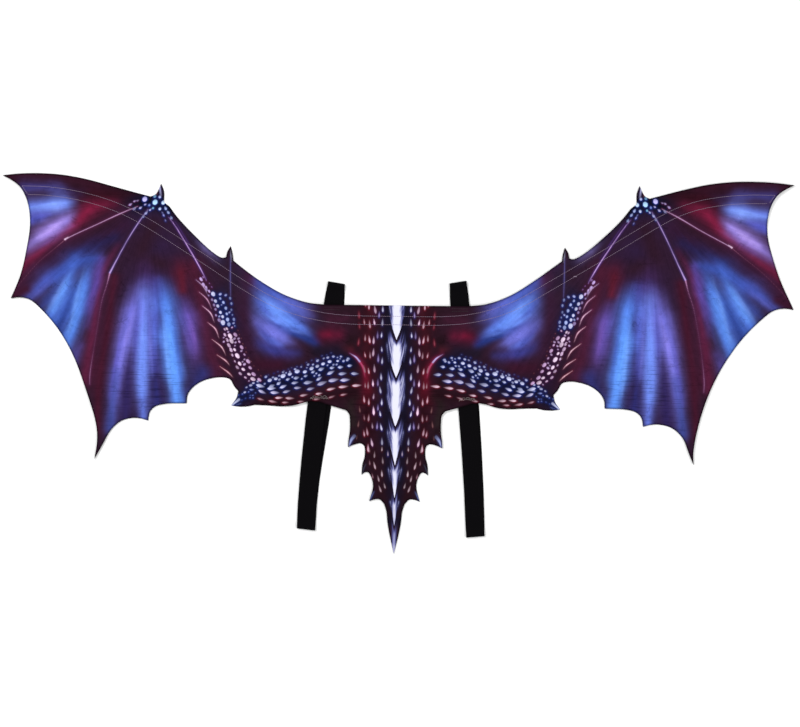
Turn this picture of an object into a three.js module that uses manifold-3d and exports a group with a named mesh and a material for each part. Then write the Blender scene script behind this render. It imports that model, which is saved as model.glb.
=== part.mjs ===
// Dragon wings cut from one felt sheet, lying face up on a flat surface with two elastic shoulder
// straps flattened beneath them. Millimetres. X runs along the span, Y from the tail to the crest
// of the wings, and Z up. The origin is on the surface, under the middle of the outline.

import * as THREE from "three";
import Module from "manifold-3d";

// Driving dimensions
const HALF_SPAN = 750; // middle line to wing tip
const HEIGHT = 712; // crest of the wings to tip of the tail
const FELT = 2; // thickness of the sheet
const GAP = 0.3; // clearance between pieces that touch on the real thing
const STRAP_WIDTH = 36;
const STRAP_THICKNESS = 1.5;
const STRAP_STANCE = 115; // middle line to the middle of a strap at its top fold
const ARM_STANCE = 1.3; // the same at the arm edge, as a share of STRAP_STANCE
const STRAP_ABOVE = 42; // top fold above the neck edge
const STRAP_BELOW = 248; // bottom fold below the arm edge, on average
const STRAP_UNEVEN = 5; // how much further the right strap reaches down than that
const STRAP_SEAM = 13; // length of a strap's end that is sewn under the sheet
const FOLD_RADIUS = 2.2; // bend of the elastic where a strap folds back
const FOLD_RUN = 16; // length over which the folded layers come together
const TAPE_WIDTH = 20;
const TAPE_THICKNESS = 1;
const PULL = 9.5; // furthest that the cut sheet is pulled out of shape
const RIPPLE = 3.5; // highest ripple of the sheet as it lies
const TAPE_SLANT = 0.7; // how far its ends slope outwards to the top, for each millimetre of width

// Facet sizes
const CELL = 19; // cells of the sheet's height grid
const EDGE_STEP = 11; // steps along the cut edge
const TAPE_STEP = 18;
const STRAP_STEP = 22;
const FOLD_STEPS = 8;
const CUTTER_REACH = 60; // how far the outline's cutter reaches below and above the sheet

// How the sheet drapes over what lies under it: it stays level this far beyond the edge of a
// strap or of the tape, and comes down over this length.
const LEVEL_BY_STRAP = 14;
const DRAPE_BY_STRAP = 58;
const LEVEL_BY_TAPE = 12;
const DRAPE_BY_TAPE = 32;

// Half of the outline as it is cut, from the neck on the middle line round to the tip of the tail.
// across is a share of HALF_SPAN and down is a share of HEIGHT below the crest. Each row is one
// smooth edge that starts at the last point of the row before it.
const NECK_DOWN = 0.34;
const EDGES = [
  { edge: "neck edge", across: [0.177], down: [NECK_DOWN] },
  {
    edge: "shoulder",
    across: [0.227, 0.288, 0.348, 0.394, 0.415],
    down: [0.334, 0.311, 0.273, 0.238, 0.221],
  },
  { edge: "thumb claw, inner side", across: [0.417, 0.422], down: [0.203, 0.184] },
  { edge: "thumb claw, outer side", across: [0.43, 0.433], down: [0.198, 0.213] },
  {
    edge: "upper arm",
    across: [0.443, 0.469, 0.515, 0.56, 0.583],
    down: [0.215, 0.2, 0.158, 0.11, 0.079],
  },
  { edge: "knuckle", across: [0.597], down: [0.068] },
  { edge: "knuckle claw, inner side", across: [0.597, 0.604], down: [0.04, 0.019] },
  {
    edge: "knuckle claw, outer side",
    across: [0.61, 0.618, 0.63],
    down: [0.034, 0.047, 0.053],
  },
  {
    edge: "leading edge",
    across: [0.666, 0.727, 0.787, 0.848, 0.908, 0.954, 1],
    down: [0.043, 0.026, 0.011, 0.002, 0, 0.002, 0.007],
  },
  {
    edge: "tip hollow",
    across: [0.977, 0.954, 0.936, 0.931, 0.944, 0.961, 0.988],
    down: [0.019, 0.038, 0.077, 0.136, 0.21, 0.271, 0.336],
  },
  {
    edge: "outer hollow",
    across: [0.966, 0.939, 0.908, 0.863, 0.818, 0.78, 0.757, 0.753, 0.756],
    down: [0.333, 0.339, 0.365, 0.417, 0.492, 0.587, 0.672, 0.718, 0.756],
  },
  {
    edge: "lower hollow",
    across: [0.741, 0.722, 0.696, 0.666, 0.643, 0.625],
    down: [0.723, 0.682, 0.657, 0.648, 0.649, 0.654],
  },
  {
    edge: "middle hollow",
    across: [0.621, 0.608, 0.58, 0.528],
    down: [0.632, 0.617, 0.609, 0.607],
  },
  {
    edge: "inner hollow",
    across: [0.526, 0.515, 0.49, 0.457, 0.434, 0.419, 0.408, 0.398],
    down: [0.586, 0.567, 0.548, 0.538, 0.537, 0.542, 0.561, 0.573],
  },
  { edge: "elbow claw, outer side", across: [0.402, 0.415], down: [0.591, 0.611] },
  {
    edge: "elbow claw, inner side",
    across: [0.396, 0.373, 0.356],
    down: [0.614, 0.613, 0.609],
  },
  {
    edge: "arm edge",
    across: [0.323, 0.288, 0.257, 0.227, 0.202, 0.177, 0.151, 0.125],
    down: [0.61, 0.612, 0.609, 0.6, 0.597, 0.604, 0.612, 0.62],
  },
  {
    edge: "hip",
    across: [0.117, 0.115, 0.115, 0.118, 0.119],
    down: [0.631, 0.646, 0.675, 0.699, 0.718],
  },
  {
    edge: "hollow under the first spike",
    across: [0.103, 0.086, 0.078, 0.076],
    down: [0.711, 0.708, 0.715, 0.728],
  },
  { edge: "second spike", across: [0.077, 0.082, 0.084], down: [0.744, 0.763, 0.791] },
  {
    edge: "hollow under the second spike",
    across: [0.076, 0.068, 0.059, 0.055],
    down: [0.785, 0.784, 0.798, 0.813],
  },
  { edge: "third spike", across: [0.055, 0.059, 0.064], down: [0.826, 0.844, 0.861] },
  {
    edge: "hollow under the third spike",
    across: [0.05, 0.037, 0.026],
    down: [0.856, 0.856, 0.868],
  },
  {
    edge: "tail point",
    across: [0.02, 0.017, 0.011, 0.005, 0],
    down: [0.888, 0.917, 0.951, 0.978, 1],
  },
];

// Middle line of the tape, from the middle of the neck to the end near the wing tip.
const TAPE_LINE = {
  across: [0, 0.126, 0.189, 0.252, 0.315, 0.379, 0.505, 0.631, 0.694, 0.757, 0.82, 0.883, 0.942],
  down: [0.38, 0.379, 0.372, 0.356, 0.33, 0.292, 0.21, 0.128, 0.092, 0.068, 0.054, 0.047, 0.046],
};

// The sheet is cut double and symmetrical, but doesn't lie quite evenly. Each row moves the right
// wing around one place, and the left wing by as much the other way. across and down are the place,
// as in EDGES. reach, how far the pull is felt, is a share of HALF_SPAN, and out and up of PULL.
const PULLS = [
  { place: "outer cusp", across: 0.988, down: 0.336, reach: 0.144, out: 1, up: -0.15 },
  { place: "outer hollow", across: 0.84, down: 0.45, reach: 0.12, out: 0.37, up: -0.13 },
  { place: "lower cusp", across: 0.757, down: 0.756, reach: 0.06, out: -0.32, up: 0.16 },
  { place: "above the lower cusp", across: 0.745, down: 0.68, reach: 0.08, out: 0.27, up: 0 },
  { place: "shoulder", across: 0.378, down: 0.247, reach: 0.127, out: 0, up: 0.38 },
  { place: "knuckle", across: 0.606, down: 0.048, reach: 0.133, out: 0.4, up: 0.32 },
  { place: "leading edge", across: 0.744, down: 0.027, reach: 0.12, out: 0, up: 0.27 },
];

// Soft ripples of the sheet, each a long low hump. across is signed, minus on the left wing. turn
// is the angle of the hump's length from X, in degrees. length and width are shares of HALF_SPAN,
// and height is a share of RIPPLE.
const RIPPLES = [
  { across: -0.97, down: 0.03, turn: 20, length: 0.12, width: 0.067, height: 1 },
  { across: 0.97, down: 0.04, turn: -25, length: 0.12, width: 0.067, height: 0.85 },
  { across: -0.86, down: 0.24, turn: 35, length: 0.2, width: 0.056, height: 0.85 },
  { across: 0.88, down: 0.22, turn: -30, length: 0.19, width: 0.059, height: 0.75 },
  { across: -0.74, down: 0.5, turn: 68, length: 0.23, width: 0.051, height: 0.97 },
  { across: 0.73, down: 0.48, turn: -66, length: 0.23, width: 0.053, height: 0.85 },
  { across: -0.755, down: 0.72, turn: 80, length: 0.08, width: 0.04, height: 0.7 },
  { across: 0.755, down: 0.73, turn: -80, length: 0.08, width: 0.04, height: 0.85 },
  { across: -0.56, down: 0.42, turn: 82, length: 0.17, width: 0.053, height: 0.75 },
  { across: 0.55, down: 0.44, turn: -80, length: 0.17, width: 0.056, height: 0.85 },
  { across: -0.31, down: 0.47, turn: -12, length: 0.12, width: 0.053, height: 0.45 },
  { across: 0.33, down: 0.46, turn: 10, length: 0.12, width: 0.053, height: 0.5 },
  { across: -0.03, down: 0.78, turn: 84, length: 0.16, width: 0.04, height: 0.63 },
  { across: 0.04, down: 0.62, turn: 88, length: 0.13, width: 0.045, height: 0.5 },
];

// Each strap as it lies: across is a share of STRAP_STANCE, and along runs from 0 at the top fold
// to 1 at the bottom fold. The layers of a loop fan out a little at the arm edge.
const STRAPS = [
  {
    name: "left_strap",
    side: -1,
    along: [0, 0.1, 0.56, 0.64, 0.72, 0.8, 0.9, 1],
    under: [1, 1.03, 1.26, 1.33, 1.38, 1.41, 1.44, 1.45],
    over: [1, 1.03, 1.3, 1.35, 1.39, 1.41, 1.43, 1.45],
  },
  {
    name: "right_strap",
    side: 1,
    along: [0, 0.1, 0.5, 0.66, 0.82, 1],
    under: [1, 1.04, 1.22, 1.27, 1.31, 1.355],
    over: [1, 1.04, 1.19, 1.25, 1.3, 1.355],
  },
];

const COLOURS = { print: 0x3a1f4a, elastic: 0x111013, tape: 0x17141a };

// Points and curves in the plan

// Y of a place that is a share of HEIGHT below the crest.
function heightAt(down) {
  return HEIGHT * (0.5 - down);
}

// Where a point of the cut outline comes to lie. side is 1 for the right wing and -1 for the left.
function laid(side, across, down) {
  const x = HALF_SPAN * across;
  const y = heightAt(down);
  let out = 0;
  let up = 0;
  for (const pull of PULLS) {
    const dx = x - HALF_SPAN * pull.across;
    const dy = y - heightAt(pull.down);
    const weight = Math.exp(-(dx * dx + dy * dy) / (HALF_SPAN * pull.reach) ** 2);
    out += PULL * pull.out * weight;
    up += PULL * pull.up * weight;
  }
  return new THREE.Vector2(side * (x + side * out), y + side * up);
}

// Points at even steps on the smooth curve through the given ones.
function smoothLine(points, step) {
  const curve = new THREE.CatmullRomCurve3(
    points.map((point) => new THREE.Vector3(point.x, point.y, 0)),
    false,
    "centripetal",
  );
  const steps = Math.max(1, Math.round(curve.getLength() / step));
  return curve.getSpacedPoints(steps).map((point) => new THREE.Vector2(point.x, point.y));
}

// One named edge of the half outline after the other, as lists of points on the given side.
function laidEdges(side) {
  let last = laid(side, 0, NECK_DOWN);
  return EDGES.map((row) => {
    const points = row.across.map((across, index) => laid(side, across, row.down[index]));
    const line = smoothLine([last, ...points], EDGE_STEP);
    last = points[points.length - 1];
    return { edge: row.edge, line };
  });
}

// The whole cut outline, counter-clockwise.
function sheetOutline() {
  const halves = [-1, 1].map((side) => laidEdges(side).flatMap((row) => row.line.slice(1)));
  const [left, right] = halves;
  return [laid(1, 0, NECK_DOWN), ...right, ...left.slice(0, -1).reverse()].reverse();
}

// Value of a table column at a place on its rising along column.
function between(along, values, at) {
  const place = THREE.MathUtils.clamp(at, along[0], along[along.length - 1]);
  const next = Math.max(along.findIndex((stop) => stop >= place), 1);
  const share = (place - along[next - 1]) / (along[next] - along[next - 1]);
  return THREE.MathUtils.lerp(values[next - 1], values[next], share);
}

// Y of the arm's lower edge at a place across the sheet.
function armEdgeHeight(x) {
  const { line } = laidEdges(Math.sign(x)).find((row) => row.edge === "arm edge");
  const inToOut = [...line].reverse();
  return between(
    inToOut.map((point) => Math.abs(point.x)),
    inToOut.map((point) => point.y),
    Math.abs(x),
  );
}

// The plan of each strap, in millimetres
const NECK_Y = heightAt(NECK_DOWN);
const STRAP_PLANS = STRAPS.map((strap) => {
  const armY = armEdgeHeight(strap.side * STRAP_STANCE * ARM_STANCE);
  const top = NECK_Y + STRAP_ABOVE;
  const bottom = armY - STRAP_BELOW - strap.side * STRAP_UNEVEN;
  const at = (y) => (top - y) / (top - bottom);
  return {
    name: strap.name,
    top,
    bottom,
    topEnd: NECK_Y - STRAP_SEAM,
    armEnd: armY + STRAP_SEAM,
    underX: (y) => strap.side * STRAP_STANCE * between(strap.along, strap.under, at(y)),
    overX: (y) => strap.side * STRAP_STANCE * between(strap.along, strap.over, at(y)),
  };
});

// The tape's middle line from one end to the other, left to right.
function tapeLine() {
  const places = TAPE_LINE.across.map((across, index) => [across, TAPE_LINE.down[index]]);
  const right = places.map(([across, down]) => laid(1, across, down));
  const left = places.slice(1).map(([across, down]) => laid(-1, across, down));
  return smoothLine([...left.reverse(), ...right], TAPE_STEP);
}
const TAPE_POINTS = tapeLine();

// Heights

// 1 up to level, then smoothly down to 0 over the drape length.
function falloff(distance, level, drape) {
  const share = THREE.MathUtils.clamp((distance - level) / drape, 0, 1);
  return 0.5 + 0.5 * Math.cos(Math.PI * share);
}

function rippleHeight(x, y) {
  let height = 0;
  for (const ripple of RIPPLES) {
    const turn = THREE.MathUtils.degToRad(ripple.turn);
    const dx = x - HALF_SPAN * ripple.across;
    const dy = y - heightAt(ripple.down);
    const along = (dx * Math.cos(turn) + dy * Math.sin(turn)) / (HALF_SPAN * ripple.length);
    const aside = (dy * Math.cos(turn) - dx * Math.sin(turn)) / (HALF_SPAN * ripple.width);
    height += RIPPLE * ripple.height * Math.exp(-along * along - aside * aside);
  }
  return height;
}

// Room that the sheet leaves for the straps' layers.
function strapLift(x, y) {
  const layer = STRAP_THICKNESS + GAP;
  let lift = 0;
  for (const plan of STRAP_PLANS) {
    const beside = (middle) => Math.abs(x - middle) - STRAP_WIDTH / 2;
    const level = LEVEL_BY_STRAP;
    const under = falloff(beside(plan.underX(y)), level, DRAPE_BY_STRAP);
    const over = falloff(beside(plan.overX(y)), level, DRAPE_BY_STRAP);
    const seams = Math.max(
      falloff(plan.topEnd - y, level, DRAPE_BY_STRAP),
      falloff(y - plan.armEnd, level, DRAPE_BY_STRAP),
    );
    lift += layer * (under + over * seams);
  }
  return lift;
}

function tapeDistance(x, y) {
  const point = new THREE.Vector2(x, y);
  let nearest = Infinity;
  for (let i = 1; i < TAPE_POINTS.length; i += 1) {
    const from = TAPE_POINTS[i - 1];
    const span = TAPE_POINTS[i].clone().sub(from);
    const share = THREE.MathUtils.clamp(point.clone().sub(from).dot(span) / span.lengthSq(), 0, 1);
    nearest = Math.min(nearest, from.clone().addScaledVector(span, share).distanceTo(point));
  }
  return nearest;
}

// Room that the sheet leaves for the tape, which keeps clear of the surface too.
function tapeLift(x, y) {
  const room = GAP + TAPE_THICKNESS + GAP;
  return room * falloff(tapeDistance(x, y) - TAPE_WIDTH / 2, LEVEL_BY_TAPE, DRAPE_BY_TAPE);
}

// Height of the sheet's underside above the surface.
function underside(x, y) {
  return rippleHeight(x, y) + strapLift(x, y) + tapeLift(x, y);
}

// Solids

const wasm = await Module();
wasm.setup();

function toSolid(geometry) {
  const { position } = geometry.attributes;
  return new wasm.Manifold(
    new wasm.Mesh({
      numProp: 3,
      vertProperties: new Float32Array(position.array),
      triVerts: new Uint32Array(geometry.index.array),
    }),
  );
}

function toGeometry(solid) {
  const mesh = solid.getMesh();
  const geometry = new THREE.BufferGeometry();
  geometry.setAttribute("position", new THREE.BufferAttribute(mesh.vertProperties, 3));
  geometry.setIndex(new THREE.BufferAttribute(mesh.triVerts, 1));
  return geometry;
}

// A body from rings of points, each joined to the next, with its first and last ring closed.
function ringBody(rings) {
  const count = rings[0].length;
  const index = [];
  for (let r = 1; r < rings.length; r += 1) {
    for (let i = 0; i < count; i += 1) {
      const a = (r - 1) * count + i;
      const b = (r - 1) * count + ((i + 1) % count);
      index.push(a, b, b + count, a, b + count, a + count);
    }
  }
  const last = (rings.length - 1) * count;
  for (let i = 2; i < count; i += 1) {
    index.push(0, i, i - 1, last, last + i - 1, last + i);
  }
  const geometry = new THREE.BufferGeometry();
  const positions = rings.flat().flatMap((point) => [point.x, point.y, point.z]);
  geometry.setAttribute("position", new THREE.Float32BufferAttribute(positions, 3));
  geometry.setIndex(index);
  return geometry;
}

// A slab of the felt over the whole rectangle, lying as the sheet does.
function drapedSlab() {
  const columns = Math.round((2 * HALF_SPAN) / CELL);
  const rows = Math.round(HEIGHT / CELL);
  const reach = { x: HALF_SPAN + CELL, y: HEIGHT / 2 + CELL };
  const grid = (column, row) => ({
    x: reach.x * ((2 * column) / columns - 1),
    y: reach.y * ((2 * row) / rows - 1),
  });
  const positions = [];
  for (const lift of [0, FELT]) {
    for (let row = 0; row <= rows; row += 1) {
      for (let column = 0; column <= columns; column += 1) {
        const { x, y } = grid(column, row);
        positions.push(x, y, underside(x, y) + lift);
      }
    }
  }
  const layer = (columns + 1) * (rows + 1);
  const at = (column, row) => row * (columns + 1) + column;
  const index = [];
  const quad = (a, b, c, d) => index.push(a, b, c, a, c, d);
  for (let row = 0; row < rows; row += 1) {
    for (let column = 0; column < columns; column += 1) {
      const corners = [
        at(column, row),
        at(column + 1, row),
        at(column + 1, row + 1),
        at(column, row + 1),
      ];
      quad(...corners.map((corner) => corner + layer));
      quad(...[...corners].reverse());
    }
  }
  const wall = (a, b) => quad(a, b, b + layer, a + layer);
  for (let column = 0; column < columns; column += 1) {
    wall(at(column, 0), at(column + 1, 0));
    wall(at(column + 1, rows), at(column, rows));
  }
  for (let row = 0; row < rows; row += 1) {
    wall(at(columns, row), at(columns, row + 1));
    wall(at(0, row + 1), at(0, row));
  }
  const geometry = new THREE.BufferGeometry();
  geometry.setAttribute("position", new THREE.Float32BufferAttribute(positions, 3));
  geometry.setIndex(index);
  return geometry;
}

// The cutter: the outline stood up as a tall block.
function outlineBlock() {
  const outline = sheetOutline();
  const low = outline.map((point) => new THREE.Vector3(point.x, point.y, -CUTTER_REACH));
  const high = outline.map((point) => new THREE.Vector3(point.x, point.y, CUTTER_REACH));
  const count = outline.length;
  const index = [];
  for (let i = 0; i < count; i += 1) {
    const next = (i + 1) % count;
    index.push(i, next, next + count, i, next + count, i + count);
  }
  for (const [a, b, c] of THREE.ShapeUtils.triangulateShape(outline, [])) {
    index.push(a + count, b + count, c + count, a, c, b);
  }
  const geometry = new THREE.BufferGeometry();
  const positions = [...low, ...high].flatMap((point) => [point.x, point.y, point.z]);
  geometry.setAttribute("position", new THREE.Float32BufferAttribute(positions, 3));
  geometry.setIndex(index);
  return geometry;
}

function wingSheet() {
  return toGeometry(toSolid(drapedSlab()).intersect(toSolid(outlineBlock())));
}

// A flat band along stations, each a middle point with its side and upward directions.
function band(stations, width, thickness) {
  const corner = (station, across, up) =>
    station.middle
      .clone()
      .addScaledVector(station.side, (across * width) / 2)
      .addScaledVector(station.up, (up * thickness) / 2);
  const rings = stations.map((station) => [
    corner(station, -1, -1),
    corner(station, -1, 1),
    corner(station, 1, 1),
    corner(station, 1, -1),
  ]);
  return ringBody(rings);
}

function stayTape() {
  const rings = TAPE_POINTS.map((point, index) => {
    const before = TAPE_POINTS[Math.max(index - 1, 0)];
    const after = TAPE_POINTS[Math.min(index + 1, TAPE_POINTS.length - 1)];
    const along = after.clone().sub(before).normalize();
    const end = (after === point) - (before === point);
    const corner = (aside, drop) => {
      const x = point.x - along.y * aside + end * TAPE_SLANT * aside;
      const y = point.y + along.x * aside;
      return new THREE.Vector3(x, y, underside(x, y) - GAP - drop);
    };
    const half = TAPE_WIDTH / 2;
    return [
      corner(half, TAPE_THICKNESS),
      corner(half, 0),
      corner(-half, 0),
      corner(-half, TAPE_THICKNESS),
    ];
  });
  return ringBody(rings);
}

// The middle line of a strap, as Y and Z, from its end under the neck edge, over the top fold, down
// the layer on the surface and round the bottom fold to its end under the arm edge. The upper layer
// swells up to each fold, because the elastic doesn't crease.
function strapProfile(plan) {
  const low = STRAP_THICKNESS / 2;
  const high = low + STRAP_THICKNESS + GAP;
  const turn = low + FOLD_RADIUS;
  const profile = [];
  const level = (layer, from, to, z) => {
    const steps = Math.max(1, Math.round(Math.abs(to - from) / STRAP_STEP));
    for (let i = 0; i <= steps; i += 1) {
      profile.push({ layer, y: THREE.MathUtils.lerp(from, to, i / steps), z });
    }
  };
  const swell = (from, to, towardsFold) => {
    for (let i = 1; i < FOLD_STEPS; i += 1) {
      const share = i / FOLD_STEPS;
      const climb = 0.5 - 0.5 * towardsFold * Math.cos(Math.PI * share);
      const z = THREE.MathUtils.lerp(high, turn + FOLD_RADIUS, climb);
      profile.push({ layer: "over", y: THREE.MathUtils.lerp(from, to, share), z });
    }
  };
  const fold = (y, outward) => {
    for (let i = 0; i <= FOLD_STEPS; i += 1) {
      const angle = (Math.PI * i) / FOLD_STEPS;
      profile.push({
        layer: "under",
        y: y + outward * FOLD_RADIUS * Math.sin(angle),
        z: turn + outward * FOLD_RADIUS * Math.cos(angle),
      });
    }
  };
  const top = plan.top - FOLD_RADIUS - low;
  const bottom = plan.bottom + FOLD_RADIUS + low;
  level("over", plan.topEnd, top - FOLD_RUN, high);
  swell(top - FOLD_RUN, top, 1);
  fold(top, 1);
  level("under", top - STRAP_STEP, bottom + STRAP_STEP, low);
  fold(bottom, -1);
  swell(bottom, bottom + FOLD_RUN, -1);
  level("over", bottom + FOLD_RUN, plan.armEnd, high);
  return profile;
}

function strap(plan) {
  const profile = strapProfile(plan);
  const middles = profile.map(
    ({ layer, y, z }) => new THREE.Vector3(layer === "over" ? plan.overX(y) : plan.underX(y), y, z),
  );
  const stations = middles.map((middle, index) => {
    const before = middles[Math.max(index - 1, 0)];
    const after = middles[Math.min(index + 1, middles.length - 1)];
    const along = after.clone().sub(before).normalize();
    const ahead = plan.underX(middle.y + STRAP_STEP);
    const behind = plan.underX(middle.y - STRAP_STEP);
    const side = new THREE.Vector3(2 * STRAP_STEP, behind - ahead, 0).normalize();
    const up = side.clone().cross(along).normalize();
    return { middle, side, up };
  });
  return band(stations, STRAP_WIDTH, STRAP_THICKNESS);
}

function piece(name, geometry, colour, roughness) {
  const material = new THREE.MeshStandardMaterial({ color: colour, roughness, metalness: 0 });
  const mesh = new THREE.Mesh(geometry, material);
  mesh.name = name;
  return mesh;
}

const wings = new THREE.Group();
wings.name = "dragon_wings";
wings.add(piece("wing_sheet", wingSheet(), COLOURS.print, 0.85));
wings.add(piece("stay_tape", stayTape(), COLOURS.tape, 0.8));
for (const plan of STRAP_PLANS) {
  wings.add(piece(plan.name, strap(plan), COLOURS.elastic, 0.7));
}

export default wings;
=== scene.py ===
import math
import random
from collections import namedtuple

import bpy
import numpy as np
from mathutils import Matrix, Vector
from mathutils.geometry import delaunay_2d_cdt
from mathutils.kdtree import KDTree


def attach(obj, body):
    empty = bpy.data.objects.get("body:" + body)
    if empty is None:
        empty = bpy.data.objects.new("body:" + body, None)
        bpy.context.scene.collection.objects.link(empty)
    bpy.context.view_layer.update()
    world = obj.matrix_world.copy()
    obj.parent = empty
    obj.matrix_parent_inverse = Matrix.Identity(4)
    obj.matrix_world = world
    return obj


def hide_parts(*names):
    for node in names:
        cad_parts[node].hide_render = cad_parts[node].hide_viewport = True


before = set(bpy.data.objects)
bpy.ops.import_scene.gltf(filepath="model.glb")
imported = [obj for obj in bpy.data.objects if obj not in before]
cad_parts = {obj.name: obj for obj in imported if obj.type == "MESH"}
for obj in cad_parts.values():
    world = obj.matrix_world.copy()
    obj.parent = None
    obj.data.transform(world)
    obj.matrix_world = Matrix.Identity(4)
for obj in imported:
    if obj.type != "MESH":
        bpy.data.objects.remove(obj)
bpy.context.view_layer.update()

# Dragon wings cut from one printed felt sheet, lying face up, with two elastic straps and a
# stay tape under it. Metres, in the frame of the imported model: X along the span, Y from the tail
# to the crest of the wings, Z up from the surface that it lies on.

# Driving dimensions, as in the model
HALF_SPAN = 0.750
HEIGHT = 0.712
FELT = 0.002
GAP = 0.0003
STRAP_WIDTH = 0.036
STRAP_THICKNESS = 0.0015
STRAP_STANCE = 0.115
ARM_STANCE = 1.3
STRAP_ABOVE = 0.042
STRAP_BELOW = 0.248
STRAP_UNEVEN = 0.005
STRAP_SEAM = 0.013
FOLD_RADIUS = 0.0022
FOLD_RUN = 0.016
TAPE_WIDTH = 0.020
TAPE_THICKNESS = 0.001
TAPE_SLANT = 0.7
PULL = 0.0095
RIPPLE = 0.0035
LEVEL_BY_STRAP = 0.014
DRAPE_BY_STRAP = 0.058
LEVEL_BY_TAPE = 0.012
DRAPE_BY_TAPE = 0.032

# Fineness of the meshes
EDGE_STEP = 0.0024
FINE_CELL = 0.0017
BACK_CELL = 0.0068
STRAP_STEP = 0.004
TAPE_STEP = 0.004
TAPE_ROUGH_STEP = 0.018
SEAM_STEP = 0.002
FINE_CLEAR = 0.55 * FINE_CELL  # from the cut edge to the first inner vertex
BACK_CLEAR = 0.5 * BACK_CELL
NEAR_MARK = 1.9  # the mesh is fine up to this far from a bright mark, in units of the print
CURVE_PIECES = 24
STROKE_PIECES = 4
LINE_PIECES = 5
SCALE_ROW_PIECES = 6

# Places in the print are in units of 1.9 mm: u to either side from the middle line, and v
# downwards, with the crest of the wings at 177 and the tip of the tail at 553.
UNIT = HALF_SPAN / 396.3
MIDDLE_V = 365.15

# Half of the outline as it is cut, from the neck on the middle line round to the tip of the tail:
# the name of an edge, then how far across its points lie as shares of HALF_SPAN, and how far down
# from the crest as shares of HEIGHT.
NECK_DOWN = 0.34
EDGES = [
    ("neck edge", [0.177], [NECK_DOWN]),
    ("shoulder", [0.227, 0.288, 0.348, 0.394, 0.415], [0.334, 0.311, 0.273, 0.238, 0.221]),
    ("thumb claw, inner side", [0.417, 0.422], [0.203, 0.184]),
    ("thumb claw, outer side", [0.43, 0.433], [0.198, 0.213]),
    ("upper arm", [0.443, 0.469, 0.515, 0.56, 0.583], [0.215, 0.2, 0.158, 0.11, 0.079]),
    ("knuckle", [0.597], [0.068]),
    ("knuckle claw, inner side", [0.597, 0.604], [0.04, 0.019]),
    ("knuckle claw, outer side", [0.61, 0.618, 0.63], [0.034, 0.047, 0.053]),
    ("leading edge", [0.666, 0.727, 0.787, 0.848, 0.908, 0.954, 1],
     [0.043, 0.026, 0.011, 0.002, 0, 0.002, 0.007]),
    ("tip hollow", [0.977, 0.954, 0.936, 0.931, 0.944, 0.961, 0.988],
     [0.019, 0.038, 0.077, 0.136, 0.21, 0.271, 0.336]),
    ("outer hollow", [0.966, 0.939, 0.908, 0.863, 0.818, 0.78, 0.757, 0.753, 0.756],
     [0.333, 0.339, 0.365, 0.417, 0.492, 0.587, 0.672, 0.718, 0.756]),
    ("lower hollow", [0.741, 0.722, 0.696, 0.666, 0.643, 0.625],
     [0.723, 0.682, 0.657, 0.648, 0.649, 0.654]),
    ("middle hollow", [0.621, 0.608, 0.58, 0.528], [0.632, 0.617, 0.609, 0.607]),
    ("inner hollow", [0.526, 0.515, 0.49, 0.457, 0.434, 0.419, 0.408, 0.398],
     [0.586, 0.567, 0.548, 0.538, 0.537, 0.542, 0.561, 0.573]),
    ("elbow claw, outer side", [0.402, 0.415], [0.591, 0.611]),
    ("elbow claw, inner side", [0.396, 0.373, 0.356], [0.614, 0.613, 0.609]),
    ("arm edge", [0.323, 0.288, 0.257, 0.227, 0.202, 0.177, 0.151, 0.125],
     [0.61, 0.612, 0.609, 0.6, 0.597, 0.604, 0.612, 0.62]),
    ("hip", [0.117, 0.115, 0.115, 0.118, 0.119], [0.631, 0.646, 0.675, 0.699, 0.718]),
    ("hollow under the first spike", [0.103, 0.086, 0.078, 0.076], [0.711, 0.708, 0.715, 0.728]),
    ("second spike", [0.077, 0.082, 0.084], [0.744, 0.763, 0.791]),
    ("hollow under the second spike", [0.076, 0.068, 0.059, 0.055], [0.785, 0.784, 0.798, 0.813]),
    ("third spike", [0.055, 0.059, 0.064], [0.826, 0.844, 0.861]),
    ("hollow under the third spike", [0.05, 0.037, 0.026], [0.856, 0.856, 0.868]),
    ("tail point", [0.02, 0.017, 0.011, 0.005, 0], [0.888, 0.917, 0.951, 0.978, 1]),
]

# Middle line of the tape, from the middle of the neck to the end near the wing tip
TAPE_LINE = {
    "across": [0, 0.126, 0.189, 0.252, 0.315, 0.379, 0.505, 0.631, 0.694, 0.757, 0.82, 0.883, 0.942],
    "down": [0.38, 0.379, 0.372, 0.356, 0.33, 0.292, 0.21, 0.128, 0.092, 0.068, 0.054, 0.047, 0.046],
}

# How the sheet lies pulled out of shape, as in the model: where, across, down, how far the pull
# reaches, and how much of PULL it moves the sheet outwards and, on the right side, up.
PULLS = [
    ("outer cusp", 0.988, 0.336, 0.144, 1, -0.15),
    ("outer hollow", 0.84, 0.45, 0.12, 0.37, -0.13),
    ("lower cusp", 0.757, 0.756, 0.06, -0.32, 0.16),
    ("above that", 0.745, 0.68, 0.08, 0.27, 0),
    ("shoulder", 0.378, 0.247, 0.127, 0, 0.38),
    ("knuckle", 0.606, 0.048, 0.133, 0.4, 0.32),
    ("leading edge", 0.744, 0.027, 0.12, 0, 0.27),
]

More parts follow.
